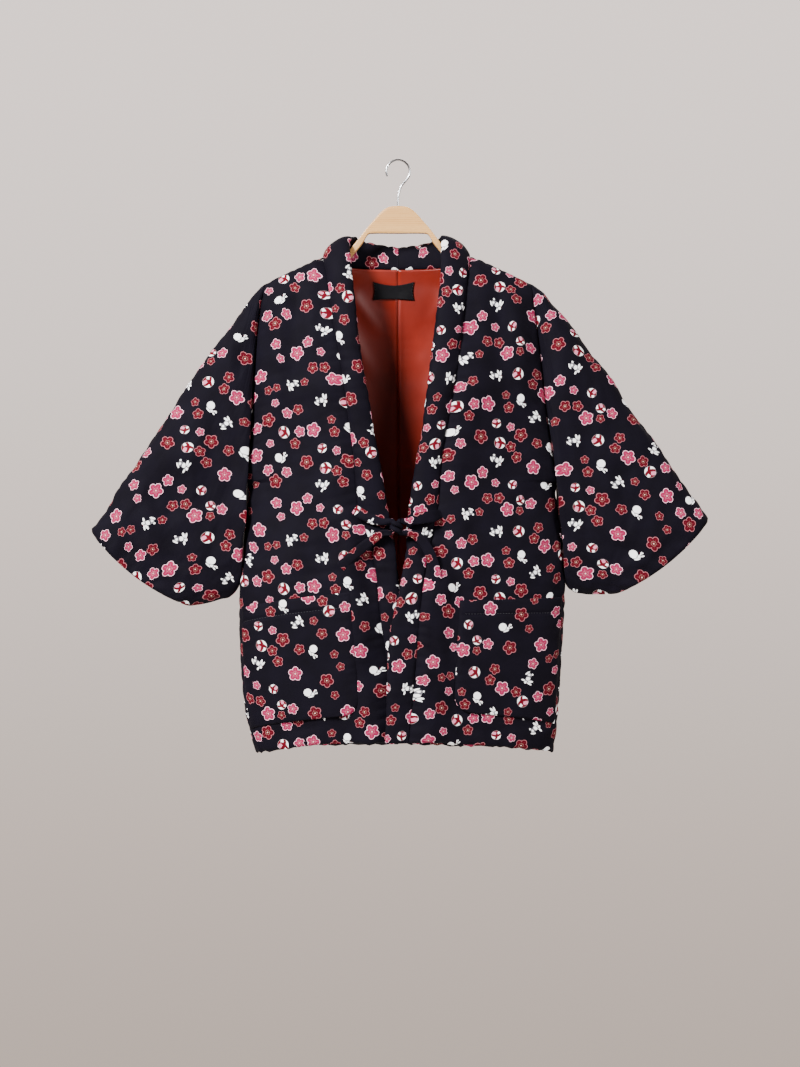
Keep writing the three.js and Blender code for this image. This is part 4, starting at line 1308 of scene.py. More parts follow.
# sleeves
sleeves = {
    "round": 14,
    "ring": 420,
    "outerRows": 136,
    "innerRows": 26,
    "rows": {  # top x, z; low x, z; half depth, shift back, lead, clearance, bow
        "right": [
            (222, -205, 236, -585, 20, 2, 7, 2.2, 0),
            (240, -229, 247, -655, 24, 4, 7, 1.3, 0),
            (268, -268, 262, -676, 27, 6, 4, 1.3, 0),
            (303, -314, 276, -680, 28, 7, 1, 1.3, 0),
            (348, -381, 288, -684, 28, 7, 0, 1.3, 2),
            (394, -450, 300, -687, 27, 7, 0, 1.3, 5),
            (437, -512, 312, -689, 26, 6, 0, 1.3, 9),
            (478, -573, 328, -690, 24, 5, 0, 1.3, 13),
        ],
        "left": [
            (224, -203, 254, -585, 19, 2, 7, 2.2, 0),
            (243, -225, 260, -652, 24, 4, 7, 1.3, 0),
            (276, -265, 274, -668, 27, 6, 4, 1.3, 0),
            (313, -313, 288, -671, 28, 7, 1, 1.3, 0),
            (360, -380, 299, -672, 28, 7, 0, 1.3, 2),
            (407, -447, 311, -672, 27, 7, 0, 1.3, 5),
            (450, -509, 325, -672, 26, 6, 0, 1.3, 8),
            (483, -557, 343, -671, 24, 5, 0, 1.3, 11),
        ],
    },
    "wadding": 2.6,
    "waddingCell": 66,
    "seamDepth": 6.6,
    "seamWidth": 20,
    "sink": 8.0,
    "swell": 7.5,
    "lean": 2.4,
    "valley": 1.4,  # a wider hollow along the armhole
    "valleyWidth": 17,
    "armRidge": (88, 44),  # the ridge beside the armhole: how far from it, and how wide
    "leanX": (268, 320),
    "leanZ": (-600, -556),
    "topWave": 1.5,
    "cuffWave": 1.4,
    "gatherHeight": 3.2,
    "gatherSpacing": 21,
    "gatherReach": 26,
    "cuffRound": 6.5,
    "seed": {"right": 91, "left": 107},
    "uvStart": {"right": (520, 260), "left": (160, 830)},
}
sleeveCreases = {  # on the front skin: x1, z1, x2, z2, width, height
    "right": [
        (236, -250, 262, -600, 14, -2.6),
        (262, -300, 300, -560, 15, -2.2),
        (300, -345, 330, -600, 13, 1.8),
        (246, -430, 300, -660, 12, -2.2),
        (345, -410, 352, -620, 14, -2.0),
        (400, -480, 372, -640, 12, 1.6),
        (285, -640, 420, -600, 12, -1.8),
    ],
    "left": [
        (238, -250, 268, -590, 14, -2.6),
        (268, -300, 300, -540, 15, -2.2),
        (308, -345, 338, -590, 13, 1.8),
        (252, -430, 305, -640, 12, -2.2),
        (352, -410, 360, -610, 14, -2.0),
        (408, -470, 388, -630, 12, 1.6),
        (300, -630, 430, -590, 12, -1.8),
    ],
}


# one ring of a sleeve, from the low point up its front side, over the top and down its back; a
# flattened loop about the line from the top point to the low point
def sleeveRing(side, row, inset, angle):
    place = -np.cos(angle)
    towards = np.where(angle <= math.pi, -1, 1)
    low, top = body["armLow"] + inset, body["armTop"] - inset
    if row is None:
        z = (low + top) / 2 + (top - low) / 2 * place
        x = halfWidth[side](z)
        half = armholeGap(x, z, inset)
        return np.stack([sideSigns[side] * (x + 0.5), towards * half, z], -1), z
    topX, topZ, lowX, lowZ, halfDepth, back, lead, clear, bow = row
    length = math.hypot(topX - lowX, topZ - lowZ)
    alongX, alongZ = (topX - lowX) / length, (topZ - lowZ) / length
    reach = length / 2 - inset
    spread = bow * (1 - place**2)
    x = (topX + lowX) / 2 + alongX * reach * place + alongZ * spread
    z = (topZ + lowZ) / 2 + alongZ * reach * place - alongX * spread
    shift = lead * (1 - smoothStep(-0.3, 0.5, place)) if inset > 0 else 0
    x = np.maximum(x, halfWidth[side](z) + clear) + shift
    half = loopHalf(place, 2 * reach, halfDepth - inset, sleeves["round"] - inset)
    return np.stack([sideSigns[side] * x, back + towards * half, z], -1), z


# rings joined by cubic Hermite curves over the mean distance between them
def joinRings(rings, marks, at):
    low = np.maximum(np.arange(len(marks)) - 1, 0)
    high = np.minimum(np.arange(len(marks)) + 1, len(marks) - 1)
    slope = 0.9 * (rings[high] - rings[low]) / (marks[high] - marks[low])[:, None, None]
    i = np.clip(np.searchsorted(marks, at, side="right") - 1, 0, len(marks) - 2)
    span = (marks[i + 1] - marks[i])[:, None, None]
    t = ((at - marks[i]) / (marks[i + 1] - marks[i]))[:, None, None]
    return hermite(t, rings[i], slope[i], rings[i + 1], slope[i + 1], span)


# both skins of a sleeve on one grid, with its rings and the distances along it
def sleeveSkins(side):
    # points crowd at the top and the low fold, where the loop turns
    turn = np.linspace(0, 2 * math.pi, sleeves["ring"], endpoint=False)
    even = np.where(turn <= math.pi, turn / math.pi, 2 - turn / math.pi) * 2 - 1
    bent = np.arccos(np.clip(0.25 * np.cos(turn) - 0.75 * even, -1, 1))
    angle = np.where(turn <= math.pi, bent, 2 * math.pi - bent)
    rows = [None, *sleeves["rows"][side]]
    outerRings = np.array([sleeveRing(side, row, 0, angle)[0] for row in rows])
    innerRings = np.array([sleeveRing(side, row, body["padding"], angle)[0] for row in rows])
    gaps = np.linalg.norm(np.diff(outerRings, axis=0), axis=-1).mean(1)
    marks = np.concatenate([[0], np.cumsum(gaps)])
    at = np.linspace(0, marks[-1], sleeves["outerRows"] + 1)
    return joinRings(outerRings, marks, at), joinRings(innerRings, marks, at), outerRings, marks, at


def sleevePiece(side, settled):
    seed = sleeves["seed"][side]
    count = sleeves["ring"]
    outer, innerFine, outerRings, marks, outerAt = sleeveSkins(side)
    outward = unit(outer - innerFine)
    # distances: from the armhole and the cuff along the rows, and round the ring from the top
    along = arcLength(outer, 0)
    toCuff = along[-1:] - along
    closed = np.concatenate([outer, outer[:, :1]], axis=1)
    ringWay = arcLength(closed, 1)
    half = count // 2
    fromTop = np.abs(ringWay - ringWay[:, half : half + 1])
    fromLow = np.minimum(ringWay, ringWay[:, -1:] - ringWay)[:, :-1]
    signed = ringWay[:, :-1]
    lift = sleeves["wadding"] * waddingNoise(signed, along, sleeves["waddingCell"], seed) + settled[side]
    front = smoothStep(-4, 10, -(outer[..., 1] - 4))
    other = "left" if side == "right" else "right"
    for rows, share in ((sleeveCreases[side], front), (sleeveCreases[other], 1 - front)):
        lift += creaseHeight(rows, np.abs(outer[..., 0]), outer[..., 2]) * share
    spacing, height, reach = sleeves["gatherSpacing"], sleeves["gatherHeight"], sleeves["gatherReach"]
    lift += seamGathers(along, signed, height, spacing, reach, seed + 1)
    lift += seamGathers(toCuff, signed, height * 0.8, spacing * 1.2, reach * 0.8, seed + 2)
    lift += seamGathers(fromLow, along, height * 0.6, spacing, reach * 0.8, seed + 3)
    topWave = scallops(along, 26, 0.7, 5, 45, seed + 8) * np.exp(-((fromTop[:, :-1] / 20) ** 2))
    lift += sleeves["topWave"] * topWave * smoothStep(20, 60, along)
    lift += sleeves["cuffWave"] * scallops(signed, 27, 0.7, 5, 45, seed + 9) * np.exp(-toCuff / 14)
    calm = smoothStep(0, 14, along) * mix(0.35, 1, smoothStep(0, 16, fromLow))
    flank = smoothStep(0, 60, fromTop[:, :-1]) * smoothStep(0, 70, fromLow)
    innerRoom = np.clip(np.abs(innerFine[..., 1] - 3) - 2, 0, None) * 0.8
    deep = armDeep(outer[..., 2])
    sink = np.minimum(sleeves["sink"] * flank * deep, innerRoom)
    depth, width = sleeves["seamDepth"] * mix(0.4, 1, flank) + sink, sleeves["seamWidth"]
    cuffFall = seamFall(toCuff, rimDepth, sleeves["cuffRound"])
    seamWay = ruffled(along, signed, 16, 0.4, seed + 5)
    armFall = seamFall(seamWay, depth, width * mix(0.7, 1.5, flank))
    fall = np.maximum.reduce([armFall, cuffFall, seamFall(fromLow, 1.4, 7)])
    rise = cuffFall - seamFall(along, sink, width)
    away, wide = sleeves["armRidge"]
    lift += sleeves["swell"] * np.exp(-(((along - away) / wide) ** 2)) * flank
    fall += sleeves["valley"] * np.exp(-((along / sleeves["valleyWidth"]) ** 2)) * flank * deep
    outer = outer + outward * (lift * calm - fall)[..., None]
    innerFine = innerFine + outward * rise[..., None]
    # the inner skin keeps the rows near both rims and few between
    fineRows = sleeves["outerRows"]
    rims, between = np.arange(6), np.linspace(6, fineRows - 6, sleeves["innerRows"]).astype(int)
    keep = np.unique(np.concatenate([rims, between, fineRows - rims]))[::-1]
    points = np.concatenate([outer, innerFine[keep]], axis=0)
    # below the armhole the sleeve leans against the side of the jacket
    leaning = 1 - smoothStep(*sleeves["leanX"], np.abs(points[..., 0]))
    leaning = leaning * (1 - smoothStep(*sleeves["leanZ"], points[..., 2]))
    points[..., 0] -= sideSigns[side] * sleeves["lean"] * leaning
    # the flat cloth: top points in the plane, and the way round laid out square to the top fold
    topLine = outerRings[:, half][:, [0, 2]]
    lowLine = outerRings[:, 0][:, [0, 2]]
    flatTop = joinRings(topLine[:, None], marks, outerAt)[:, 0]
    flatLow = joinRings(lowLine[:, None], marks, outerAt)[:, 0]
    direction = unit(flatLow - flatTop)
    foldWay = unit(topLine[-1] - topLine[0])
    mirrored = 2 * (direction @ foldWay)[:, None] * foldWay - direction
    way = np.where((np.arange(count + 1) <= half)[None, :, None], direction[:, None], mirrored[:, None])
    flat = flatTop[:, None] + fromTop[..., None] * way + np.array(sleeves["uvStart"][side])
    uv = np.concatenate([flat, flat[keep], flat[:1]], axis=0)
    cells = np.zeros((points.shape[0], count), int)
    cells[fineRows + 9 : -1] = 1
    piece = shellFromGrid(f"sleeve_{side}_cloth", points, uv, True, True, [cotton, satin], cells.ravel())
    return finishPiece(piece, f"sleeve_{side}", "printed_cloth")


sleeveNets = {}
for side in sideSigns:
    outer, inner, *_ = sleeveSkins(side)
    sleeveNets[side] = (outer, unit(outer - inner), (4, 5), True)
sleeveLift = paddedLift(sleeveNets)
for side in sideSigns:
    piece = sleevePiece(side, sleeveLift)
print("sleeves made")


# collar band
collar = {
    "thickness": 16,
    "lowThickness": 12,  # where the two bands lap, below the ties
    "proud": 2.0,  # how far the band stands before the seam
    "rise": [(-320, 0, 3), (-240, 4, 4), (-190, 12, 7), (-160, 22, 9), (-148, 27, 6)],  # z, rise, stand
    "back": [(0, 68, 4, -117), (0.25, 64, 20, -118), (0.55, 44, 35, -124), (1, 0, 42, -131)],
    "rows": 430,
    "ring": 56,
    "ripple": 1.9,
    "gathers": {"seam": (2.8, 17, 15), "fold": (2.2, 21, 13)},  # height, spacing, reach
    "scallop": (0.9, 3.2),  # waves of the free fold, on the fronts and round the neck
    "seed": {"right": 131, "left": 149},
    "uvStart": {"right": (30, 610), "left": (900, 300)},
}


def middleDepth(side, face, x, z):
    return (bodyDepth(side, face, x, z, 0) + bodyDepth(side, face, x, z, body["padding"])) / 2


# pairs of points across the band, from the hem up the front edge and round to the centre back
def collarPairs(side):
    down = np.linspace(1, 0, 26)
    x, z = panelPlace(side, "front", np.zeros(26), down, 0)
    depth = middleDepth(side, "front", x, z)
    rise, stand = curveThrough(collar["rise"], 1)(z), curveThrough(collar["rise"], 2)(z)
    seam = np.stack([x - 0.6, -depth, z], -1)
    edge = np.stack([collarEdge[side](z), -depth - stand, z + rise], -1)
    corner = arcPart(body["neckHalf"][side], body["shoulderHalf"])
    column = corner * (1 - np.arange(1, 7) / 6)
    backX, backZ = panelPlace(side, "back", column, np.zeros(6), 0)
    backDepth = np.maximum(middleDepth(side, "back", backX, backZ), 2)
    backSeam = np.stack([np.maximum(backX, 0.15), backDepth, backZ + body["gap"]], -1)
    part = np.arange(1, 7) / 6
    backEdge = np.stack([curveThrough(collar["back"], k)(part) for k in (1, 2, 3)], -1)
    backEdge[:, 0] = np.maximum(backEdge[:, 0], 0.15)
    seam, edge = np.concatenate([seam, backSeam]), np.concatenate([edge, backEdge])
    seam[:, 0] *= sideSigns[side]
    edge[:, 0] *= sideSigns[side]
    return seam, edge


# a smooth line through points, by Hermite curves over the distance between them
def splineThrough(points, marks, at):
    return joinRings(points[:, None], marks, at)[:, 0]


# section of the band: from the seam over the outer face to the free fold and back underneath,
# half thickness T * (1 - |2t - 1|^p)^0.5, fuller towards the fold than at the seam
def collarPiece(side):
    seed = collar["seed"][side]
    seam, edge = collarPairs(side)
    middle = (seam + edge) / 2
    marks = np.concatenate([[0], np.cumsum(np.linalg.norm(np.diff(middle, axis=0), axis=-1))])
    at = np.linspace(0, marks[-1], collar["rows"] + 1)
    seam, edge = splineThrough(seam, marks, at), splineThrough(edge, marks, at)
    middle = (seam + edge) / 2
    forward = unit(np.gradient(middle, axis=0))
    forward[-1] = (-sideSigns[side], 0, 0)
    across = edge - seam
    width = np.linalg.norm(across, axis=-1)[:, None]
    outward = unit(np.cross(across, forward))
    facing = np.sign(np.einsum("ij,ij->i", outward, np.broadcast_to((0, -1.0, 0), outward.shape)).sum())
    outward = outward * facing
    # round the section: turn 0 is the seam, half a turn the free fold
    turn = np.linspace(0, 2 * math.pi, collar["ring"], endpoint=False)[None]
    part = (1 - np.cos(turn)) / 2
    upper = np.where(turn <= math.pi, 1, -1)
    high = smoothStep(-620, -560, middle[:, 2])[:, None]
    half = mix(collar["lowThickness"], collar["thickness"], high) / 2
    half = half * np.sqrt(np.maximum(1 - np.abs(2 * part - 1) ** 3.0, 0))
    half = half * mix(0.86, 1.0, smoothStep(0.0, 0.45, part))
    away = part * width
    distance = at[:, None]
    ripple = collar["ripple"] * waddingNoise(distance, away, 40, seed)
    ripple = ripple + 0.9 * softNoise(distance, 3, 33, seed + 2) * smoothStep(0.3, 0.9, part)
    gathers = seamGathers(away + 1.5, distance + 0 * away, *collar["gathers"]["seam"], seed + 3)
    foldGathers = seamGathers(width - away + 2, distance + 0 * away, *collar["gathers"]["fold"], seed + 4)
    backPart = smoothStep(marks[25] - 30, marks[25] + 30, distance)
    lift = np.where(upper > 0, ripple + gathers + foldGathers * mix(0.6, 1.6, backPart), 0.4 * ripple)
    lift = lift * smoothStep(0, 0.1, part) * smoothStep(0, 0.06, 1 - part)
    ends = np.minimum(seamFall(distance, 1, 7), 1)
    lastPart = smoothStep(0, 12, marks[-1] - distance)
    half = half * np.sqrt(np.maximum(1 - ends, 0.02))
    points = seam[:, None] + across[:, None] * part[..., None]
    proud = collar["proud"] * high * np.sin(math.pi * part) * (1 - ends)
    points = points + outward[:, None] * (upper * half + proud + lift * lastPart * (1 - ends))[..., None]
    # the free fold waves a little in and out
    wave = 1.2 * softNoise(distance, 9, 37, seed + 5) + 0.6 * softNoise(distance, 19, 12, seed + 6)
    scallop = scallops(distance, 19, 0.4, 29, 41, seed + 7) * (0.8 + 0.4 * softNoise(distance, 39, 33, seed + 8))
    wave = wave + mix(*collar["scallop"], backPart) * scallop
    points = points + unit(across)[:, None] * (wave * part**2 * lastPart)[..., None]
    points[-1, :, 0] = -0.4 * sideSigns[side]
    piece = tubeShell(f"collar_{side}_cloth", points, cotton, at, collar["uvStart"][side])
    return finishPiece(piece, f"collar_{side}", "printed_cloth")


for side in sideSigns:
    piece = collarPiece(side)
print("collar made")


# a pocket: a square on the front's skin with one round corner, puffed by a low pillow, its three
# sewn sides drawn down to the cloth and its top fold standing a little open
def pocketPiece(side):
    topInner, topOuter, lowInner, lowOuter, innerTop, innerLow = pockets["size"][side]
    seed = pockets["seed"][side]
    column, down = np.meshgrid(np.linspace(0, 1, pockets["columns"] + 1), np.linspace(0, 1, pockets["rows"] + 1))
    inner = mix(innerTop, innerLow, down)
    below = np.clip((down - 1) * abs(lowInner - topInner) + pockets["corner"], 0, pockets["corner"])
    cut = pockets["corner"] - np.sqrt(pockets["corner"] ** 2 - below**2)
    z = mix(mix(topInner, topOuter, column), mix(lowInner, lowOuter, column), down)
    reach = halfWidth[side](z)
    part = mix(arcPart(inner + cut, reach), pockets["outer"], column)
    x = reach * np.sin(math.pi / 2 * part)
    base = bodyPoint(side, "front", x, z, 0)
    across, along = arcLength(base, 1), arcLength(base, 0)
    toSide, toLow = across[:, -1:] - across, along[-1:] - along
    sewn = np.minimum(np.minimum(across, toSide), toLow)
    gape = pockets["gape"] * np.exp(-along / 34) * np.sin(math.pi * column) ** 1.5
    puff = pockets["puff"] * smoothStep(0, 30, sewn) * smoothStep(0, 20, along)
    lift = pockets["wadding"] * waddingNoise(across, along, pockets["waddingCell"], seed)
    lift += seamGathers(across, along, 1.9, 16, 15, seed + 1) + seamGathers(toSide, along, 1.9, 17, 15, seed + 2)
    lift += seamGathers(toLow, across, 1.9, 18, 15, seed + 3) + seamGathers(along, across, 0.96, 26, 18, seed + 4)
    groove, width = pockets["hemGroove"]
    lift -= groove * np.exp(-(((along - pockets["hemSeam"]) / width) ** 2)) * smoothStep(0, 4, sewn)
    fall = np.maximum(seamFall(sewn, 3.5, 13), seamFall(along, 1.5, 4.5))
    rise = seamFall(along, 0.8, 4.5)
    top = pockets["standoff"] + pockets["thickness"] + puff + gape + lift * smoothStep(0, 8, sewn) - fall
    outer = raisedPoint(side, "front", x, z, top)
    under = raisedPoint(side, "front", x, z, pockets["standoff"] * smoothStep(0, 9, sewn) - 0.3 + gape * 0.8 + rise)
    hemRow = np.argmin(np.abs(along[:, pockets["columns"] // 2] - pockets["hemSeam"]))
    seamLines[f"pocket_{side}_stitches"] = (outer[hemRow, 3:-3], unit(outer - under)[hemRow, 3:-3])
    flat = flatPlace(side, "front", x, z, pockets["uvStart"][side])
    piece = twoSkinShell(f"pocket_{side}_cloth", outer, under, flat, pockets["innerStep"], [cotton])
    return finishPiece(piece, f"pocket_{side}", "printed_cloth")


seamLines = {}
for side in sideSigns:
    piece = pocketPiece(side)
print("pockets made")


# ties
ties = {
    "rows": {  # x, z, lift in front of the body, width, thickness; strap, then tail
        "right": [
            [(-66, -541, -1.5, 14, 3.6), (-56, -548, 9, 16, 4), (-40, -556, 12, 15, 4.5), (-24, -560, 15, 11, 5.5)],
            [(-22, -577, 15, 10, 5.5), (-38, -587, 13, 14, 4.5), (-60, -604, 9, 16, 4), (-88, -629, 3.4, 16, 4)],
        ],
        "left": [
            [(65, -548, -1.5, 14, 3.6), (52, -552, 10, 18, 4), (33, -555, 14, 18, 5), (16, -560, 16, 11, 5.5)],
            [(17, -577, 16, 11, 5.5), (33, -585, 15, 15, 4.5), (50, -612, 11, 16, 4), (61, -657, 3.6, 16, 4)],
        ],
    },
    "knot": {"x": -3, "z": -568, "lift": 19, "radius": 6, "drop": 18, "wide": 7.5, "thick": 7, "steps": 8},
    "samples": 220,
    "ring": 36,
    "seed": {"right": 211, "left": 223},
    "uvStart": {"right": (55, 95), "left": (333, 222)},
}


# centripetal Catmull-Rom through control points; also blends each point's width and thickness
def centripetalCurve(points, count):
    p = np.concatenate([[2 * points[0] - points[1]], points, [2 * points[-1] - points[-2]]])
    t = np.linspace(0, len(points) - 1, count + 1)
    i = np.minimum(t.astype(int), len(points) - 2)
    f = (t - i)[:, None]
    p0, p1, p2, p3 = p[i], p[i + 1], p[i + 2], p[i + 3]
    gap = lambda a, b: np.sqrt(np.linalg.norm(b - a, axis=-1, keepdims=True))
    d0, d1, d2 = gap(p0, p1), gap(p1, p2), gap(p2, p3)
    startSlope = ((p1 - p0) / d0 - (p2 - p0) / (d0 + d1) + (p2 - p1) / d1) * d1
    endSlope = ((p2 - p1) / d1 - (p3 - p1) / (d1 + d2) + (p3 - p2) / d2) * d1
    return hermite(f, p1, startSlope, p2, endSlope), i, f


def tiePiece(side):
    seed = ties["seed"][side]

    def inFront(x, z, lift):
        near = "right" if x < 0 else "left"
        depth = float(bodyDepth(near, "front", np.array(abs(x)), np.array(float(z)), 0))
        return (x, -depth - lift, z)

    knot = ties["knot"]
    strap, tail = (
        [(inFront(x, z, lift), (wide, thick), (0, -1, 0)) for x, z, lift, wide, thick in rows]
        for rows in ties["rows"][side]
    )
    centre = inFront(knot["x"], knot["z"], knot["lift"])
    start = math.pi if side == "right" else 0
    loop = []
    for t in np.linspace(0, 1, knot["steps"] + 1):
        cosine, sine = math.cos(start + 2 * math.pi * t), math.sin(start + 2 * math.pi * t)
        shift = (knot["radius"] * cosine, knot["radius"] * sine, knot["drop"] * (0.5 - t))
        loop.append((np.add(centre, shift), (knot["wide"], knot["thick"]), (cosine, sine, 0)))
    points, sizes, outwards = (np.array(part, float) for part in zip(*strap, *loop, *tail))
    place, i, f = centripetalCurve(points, ties["samples"])
    size = mix(sizes[i], sizes[i + 1], smoothStep(0, 1, f))
    outward = mix(outwards[i], outwards[i + 1], smoothStep(0, 1, f))
    forward = unit(np.gradient(place, axis=0))
    across = unit(np.cross(outward, forward))
    square = unit(np.cross(forward, across))
    length = arcLength(place, 0)
    toEnd = length[-1] - length
    turn = np.linspace(0, 2 * math.pi, ties["ring"], endpoint=False)[None]
    cosTurn, sinTurn = np.cos(turn), np.sin(turn)
    # section: a flat rounded strap, |cos|^0.7 wide and |sin|^0.8 thick, with lengthwise creases
    wide = size[:, :1] / 2 * np.sign(cosTurn) * np.abs(cosTurn) ** 0.72
    thick = size[:, 1:] / 2 * np.sign(sinTurn) * np.abs(sinTurn) ** 0.85
    pinch = np.exp(-(((length[:, None] - length[-1] * 0.52) / 34) ** 2))
    crease = 0.9 * pinch * np.cos(3 * turn + 2 * softNoise(length, 3, 30, seed)[:, None])
    crease = crease + 0.8 * waddingNoise(length[:, None], turn * 6, 13, seed + 1)
    close = np.sqrt(np.maximum(1 - (1 - np.clip(toEnd / 3.5, 0, 1)) ** 2, 0.03))[:, None]
    thick = (thick + crease * np.abs(sinTurn)) * close
    wide = wide * mix(0.93, 1, close)
    ring = place[:, None] + across[:, None] * wide[..., None] + square[:, None] * thick[..., None]
    piece = tubeShell(f"tie_{side}_cloth", ring, cotton, length, ties["uvStart"][side])
    return finishPiece(piece, f"tie_{side}", "printed_cloth")


for side in sideSigns:
    piece = tiePiece(side)
print("ties made")


# back lining and neck label
lining = {
    "rows": 240,
    "columns": 60,
    "folds": {  # x1, z1, x2, z2, width, height towards the wearer
        "right": [(96, -175, 30, -262, 9, 2.6), (70, -172, 14, -232, 8, -1.6), (104, -215, 40, -330, 11, 2.2)],
        "left": [(98, -178, 44, -250, 10, 2.0), (66, -176, 30, -300, 10, -1.4), (100, -230, 50, -360, 12, 2.0)],
    },
}


# the back lining: the back's inner skin moved in, with shallow folds and a seam at the centre
def liningPiece(side):
    column, down = np.meshgrid(np.linspace(0, 1, lining["columns"] + 1), np.linspace(0, 0.955, lining["rows"] + 1))
    skins = []
    base = body["padding"] + body["gap"]
    x, z = panelPlace(side, "back", column, down, base)
    across = arcLength(bodyPoint(side, "back", x, z, base), 1)
    fold = creaseHeight(lining["folds"][side], x, z) + 0.5 * waddingNoise(across, z, 34, 301)
    fold = fold + seamGathers(across, z, 0.9, 15, 12, 307)
    fold = np.maximum(fold, -0.6) * smoothStep(0, 9, across) + 0.9 * np.exp(-((across / 2.2) ** 2))
    for inset in (base + 0.9, base + body["lining"]):
        x, z = panelPlace(side, "back", column, down, inset)
        point = bodyPoint(side, "back", x, z, inset)
        point[..., 1] -= np.minimum(fold, 3.2) * smoothStep(0, 30, point[..., 1] - 2)
        skins.append(point)
    flat = np.stack([across, down * body["length"]], -1)
    piece = twoSkinShell(f"lining_{side}_cloth", *skins, flat, 1, [satin])
    return finishPiece(piece, f"lining_{side}", "lining")


for side in sideSigns:
    piece = liningPiece(side)

label = {"x1": -39, "x2": 25, "z1": -185, "z2": -213, "thick": 0.9, "sag": 5.5, "standoff": 1.4}


def labelPiece():
    column, down = np.meshgrid(np.linspace(0, 1, 63), np.linspace(0, 1, 27))
    # drawn in between its sewn corners: the edges dip towards the middle
    bow = np.sin(math.pi * column)
    x = mix(label["x1"], label["x2"], column) + 2.2 * np.sin(math.pi * down) * (1 - 2 * column) ** 3
    z = mix(label["z1"], label["z2"], down) - label["sag"] * bow * (1 - down) + 2.0 * bow * down
    inset = body["padding"] + body["gap"] + body["lining"] + label["standoff"]
    curl = 1.4 * np.sin(math.pi * column) * down**2 + 0.5 * softNoise(x, z, 16, 331)
    skins = []
    for extra in (0, label["thick"]):
        rightPart = bodyPoint("right", "back", np.abs(x), z, inset + extra)
        leftPart = bodyPoint("left", "back", np.abs(x), z, inset + extra)
        point = np.where(x[..., None] < 0, rightPart, leftPart)
        point[..., 0] = x
        point[..., 1] -= np.maximum(curl, 0)
        skins.append(point)
    piece = twoSkinShell("neck_label_cloth", *skins, np.stack([x, z], -1), 1, [labelCloth])
    finishPiece(piece, "neck_label", "label")
    towards = unit(skins[1] - skins[0])
    for end, place in (("right", 1), ("left", -2)):
        seamLines[f"label_{end}_stitches"] = (skins[1][1:-1, place], towards[1:-1, place])


labelPiece()
print("lining and label made")


# a row of stitches: short rounded lengths of thread bent into the cloth at both ends
stitches = {"length": 3.0, "gap": 1.5, "radius": 0.32, "stations": 6, "ring": 8}


def stitchRow(name, line, normals):
    way = arcLength(line, 0)
    pitch = stitches["length"] + stitches["gap"]
    count = max(int(way[-1] / pitch), 1)
    part = np.linspace(0, 1, stitches["stations"])
    turn = np.linspace(0, 2 * math.pi, stitches["ring"], endpoint=False)
    thick = stitches["radius"] * np.sqrt(np.maximum(1 - (2 * part - 1) ** 4, 0.05))
    points, faces = [], []
    for k in range(count):
        at = (k + 0.5) * pitch + (part - 0.5) * stitches["length"]
        place = np.stack([np.interp(at, way, line[:, i]) for i in range(3)], -1)
        normal = unit(np.stack([np.interp(at, way, normals[:, i]) for i in range(3)], -1))
        place = place + normal * (0.25 * np.sin(math.pi * part) - 0.1)[:, None]
        forward = unit(np.gradient(place, axis=0))
        across = unit(np.cross(normal, forward))
        square = np.cross(forward, across)
        rim = np.cos(turn)[None, :, None] * across[:, None] + np.sin(turn)[None, :, None] * square[:, None]
        start = k * len(part) * len(turn)
        quads, _, _ = gridCells(len(part), len(turn), False, True)
        faces += (quads + start).tolist()
        last = start + (len(part) - 1) * len(turn)
        faces += [list(range(start + len(turn) - 1, start - 1, -1)), list(range(last, last + len(turn)))]
        points.append((place[:, None] + thick[:, None, None] * rim).reshape(-1, 3))
    points = np.concatenate(points)
    corners = [np.zeros((len(face), 2)) for face in faces]
    makeMesh(name, points, faces, corners, [thread], np.zeros(len(faces)))


# hanger and hook
hanger = {
    "thickness": 12,
    "top": [(0, -70), (15, -72), (27, -80), (38, -92.5), (49, -105), (60, -119.5), (71, -133)],
    "low": [(0, -113), (40, -113), (47, -115), (55, -128), (66, -142)],
    "armFrom": 94,
    "armTo": 186,
    "seat": 3.1,
    "height": 11.5,
    "stations": 260,
    "ring": 48,
    "power": 7.0,
}


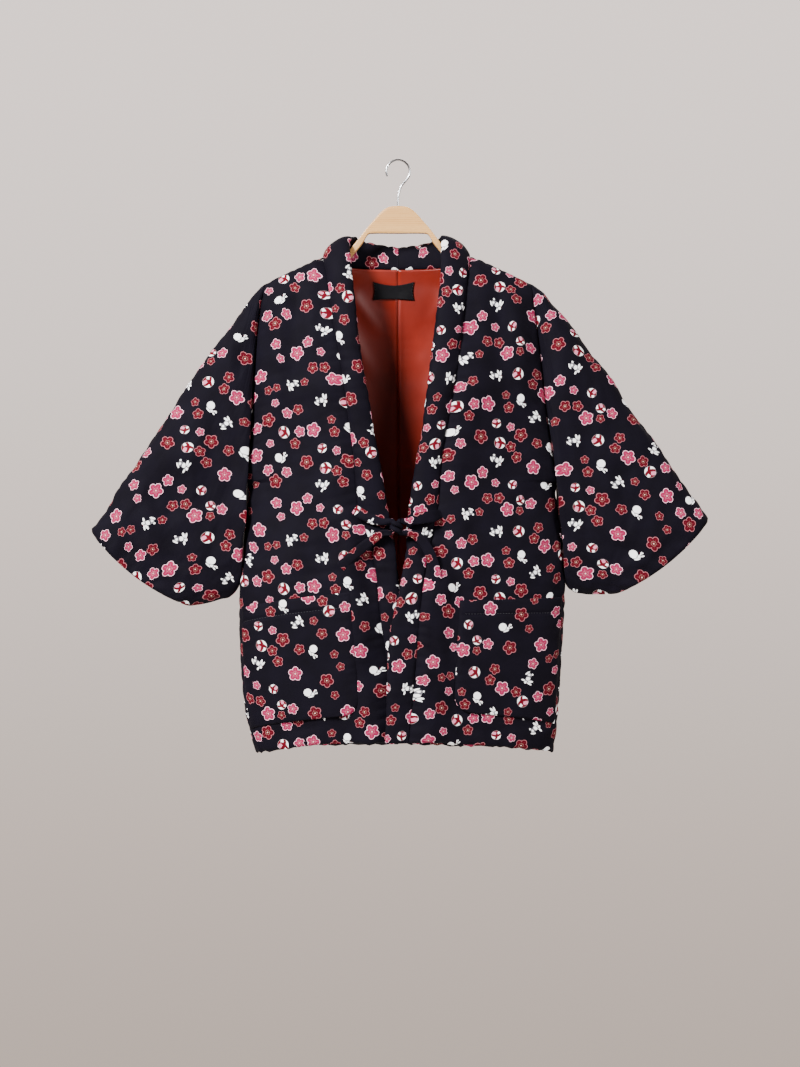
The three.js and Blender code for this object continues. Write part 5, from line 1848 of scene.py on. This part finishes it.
# hanger: stations across, each a rounded plate section |y / a|^p + |z / b|^p = 1
def hangerPiece():
    armX = np.linspace(hanger["armFrom"], hanger["armTo"], 5)
    armTop = shoulderLine(armX) - body["padding"] - body["gap"] - body["lining"] - hanger["seat"]
    topRows = hanger["top"] + list(zip(armX, armTop))
    lowRows = hanger["low"] + list(zip(armX - 5, armTop - hanger["height"])) + [(hanger["armTo"], armTop[-1] - 9)]
    tip = hanger["armTo"]
    along = np.sin(np.linspace(-math.pi / 2, math.pi / 2, hanger["stations"] + 1)) * 0.25
    x = tip * (0.75 * np.linspace(-1, 1, hanger["stations"] + 1) + along)
    top, low = curveThrough(topRows, 1)(np.abs(x)), curveThrough(lowRows, 1)(np.abs(x))
    close = np.sqrt(np.maximum(1 - (1 - np.clip((tip - np.abs(x)) / 4, 0, 1)) ** 2, 0.02))
    middle, halfHigh = (top + low) / 2, (top - low) / 2 * close
    turn = np.linspace(0, 2 * math.pi, hanger["ring"], endpoint=False)[None]
    power = 2 / hanger["power"]
    side = np.sign(np.cos(turn)) * np.abs(np.cos(turn)) ** power
    rise = np.sign(np.sin(turn)) * np.abs(np.sin(turn)) ** power
    points = np.stack(
        np.broadcast_arrays(
            x[:, None], hanger["thickness"] / 2 * side * close[:, None], middle[:, None] + halfHigh[:, None] * rise
        ),
        -1,
    )
    finishPiece(tubeShell("hanger_wood", points, beech), "hanger", "hanger_wood")


hookWire = {"wire": 1.75, "inner": 16.5, "root": -92, "stem": -54, "from": -45, "to": 205, "ring": 24, "samples": 260}


# hook: a round wire along a straight stem and a bend of 250 degrees, its end domed
def hookPiece():
    radius = hookWire["inner"] + hookWire["wire"]
    angle = np.radians(np.linspace(hookWire["from"], hookWire["to"], 11))
    bend = np.stack([radius * np.cos(angle), 0 * angle, -hookWire["inner"] + radius * np.sin(angle)], -1)
    root, stemTop = hookWire["root"], hookWire["stem"]
    stem = [(0, 0, root), (0, 0, (root + stemTop) / 2), (0.5, 0, stemTop), (5, 0, -39)]
    place, _, _ = centripetalCurve(np.concatenate([np.array(stem, float), bend]), hookWire["samples"])
    forward = unit(np.gradient(place, axis=0))
    across = np.broadcast_to((0, 1.0, 0), place.shape)
    square = unit(np.cross(forward, across))
    length = arcLength(place, 0)
    end = np.clip((length[-1] - length) / hookWire["wire"], 0, 1)
    close = np.sqrt(np.maximum(1 - (1 - end) ** 2, 0.01))[:, None, None]
    turn = np.linspace(0, 2 * math.pi, hookWire["ring"], endpoint=False)[None, :, None]
    rim = np.cos(turn) * across[:, None] + np.sin(turn) * square[:, None]
    ring = place[:, None] + hookWire["wire"] * close * rim
    finishPiece(tubeShell("hook_wire", ring, steel), "hook", "hook_wire")


for name, (line, normals) in seamLines.items():
    stitchRow(name, line, normals)
hangerPiece()
hookPiece()
print("hanger and hook made")

bpy.context.view_layer.update()
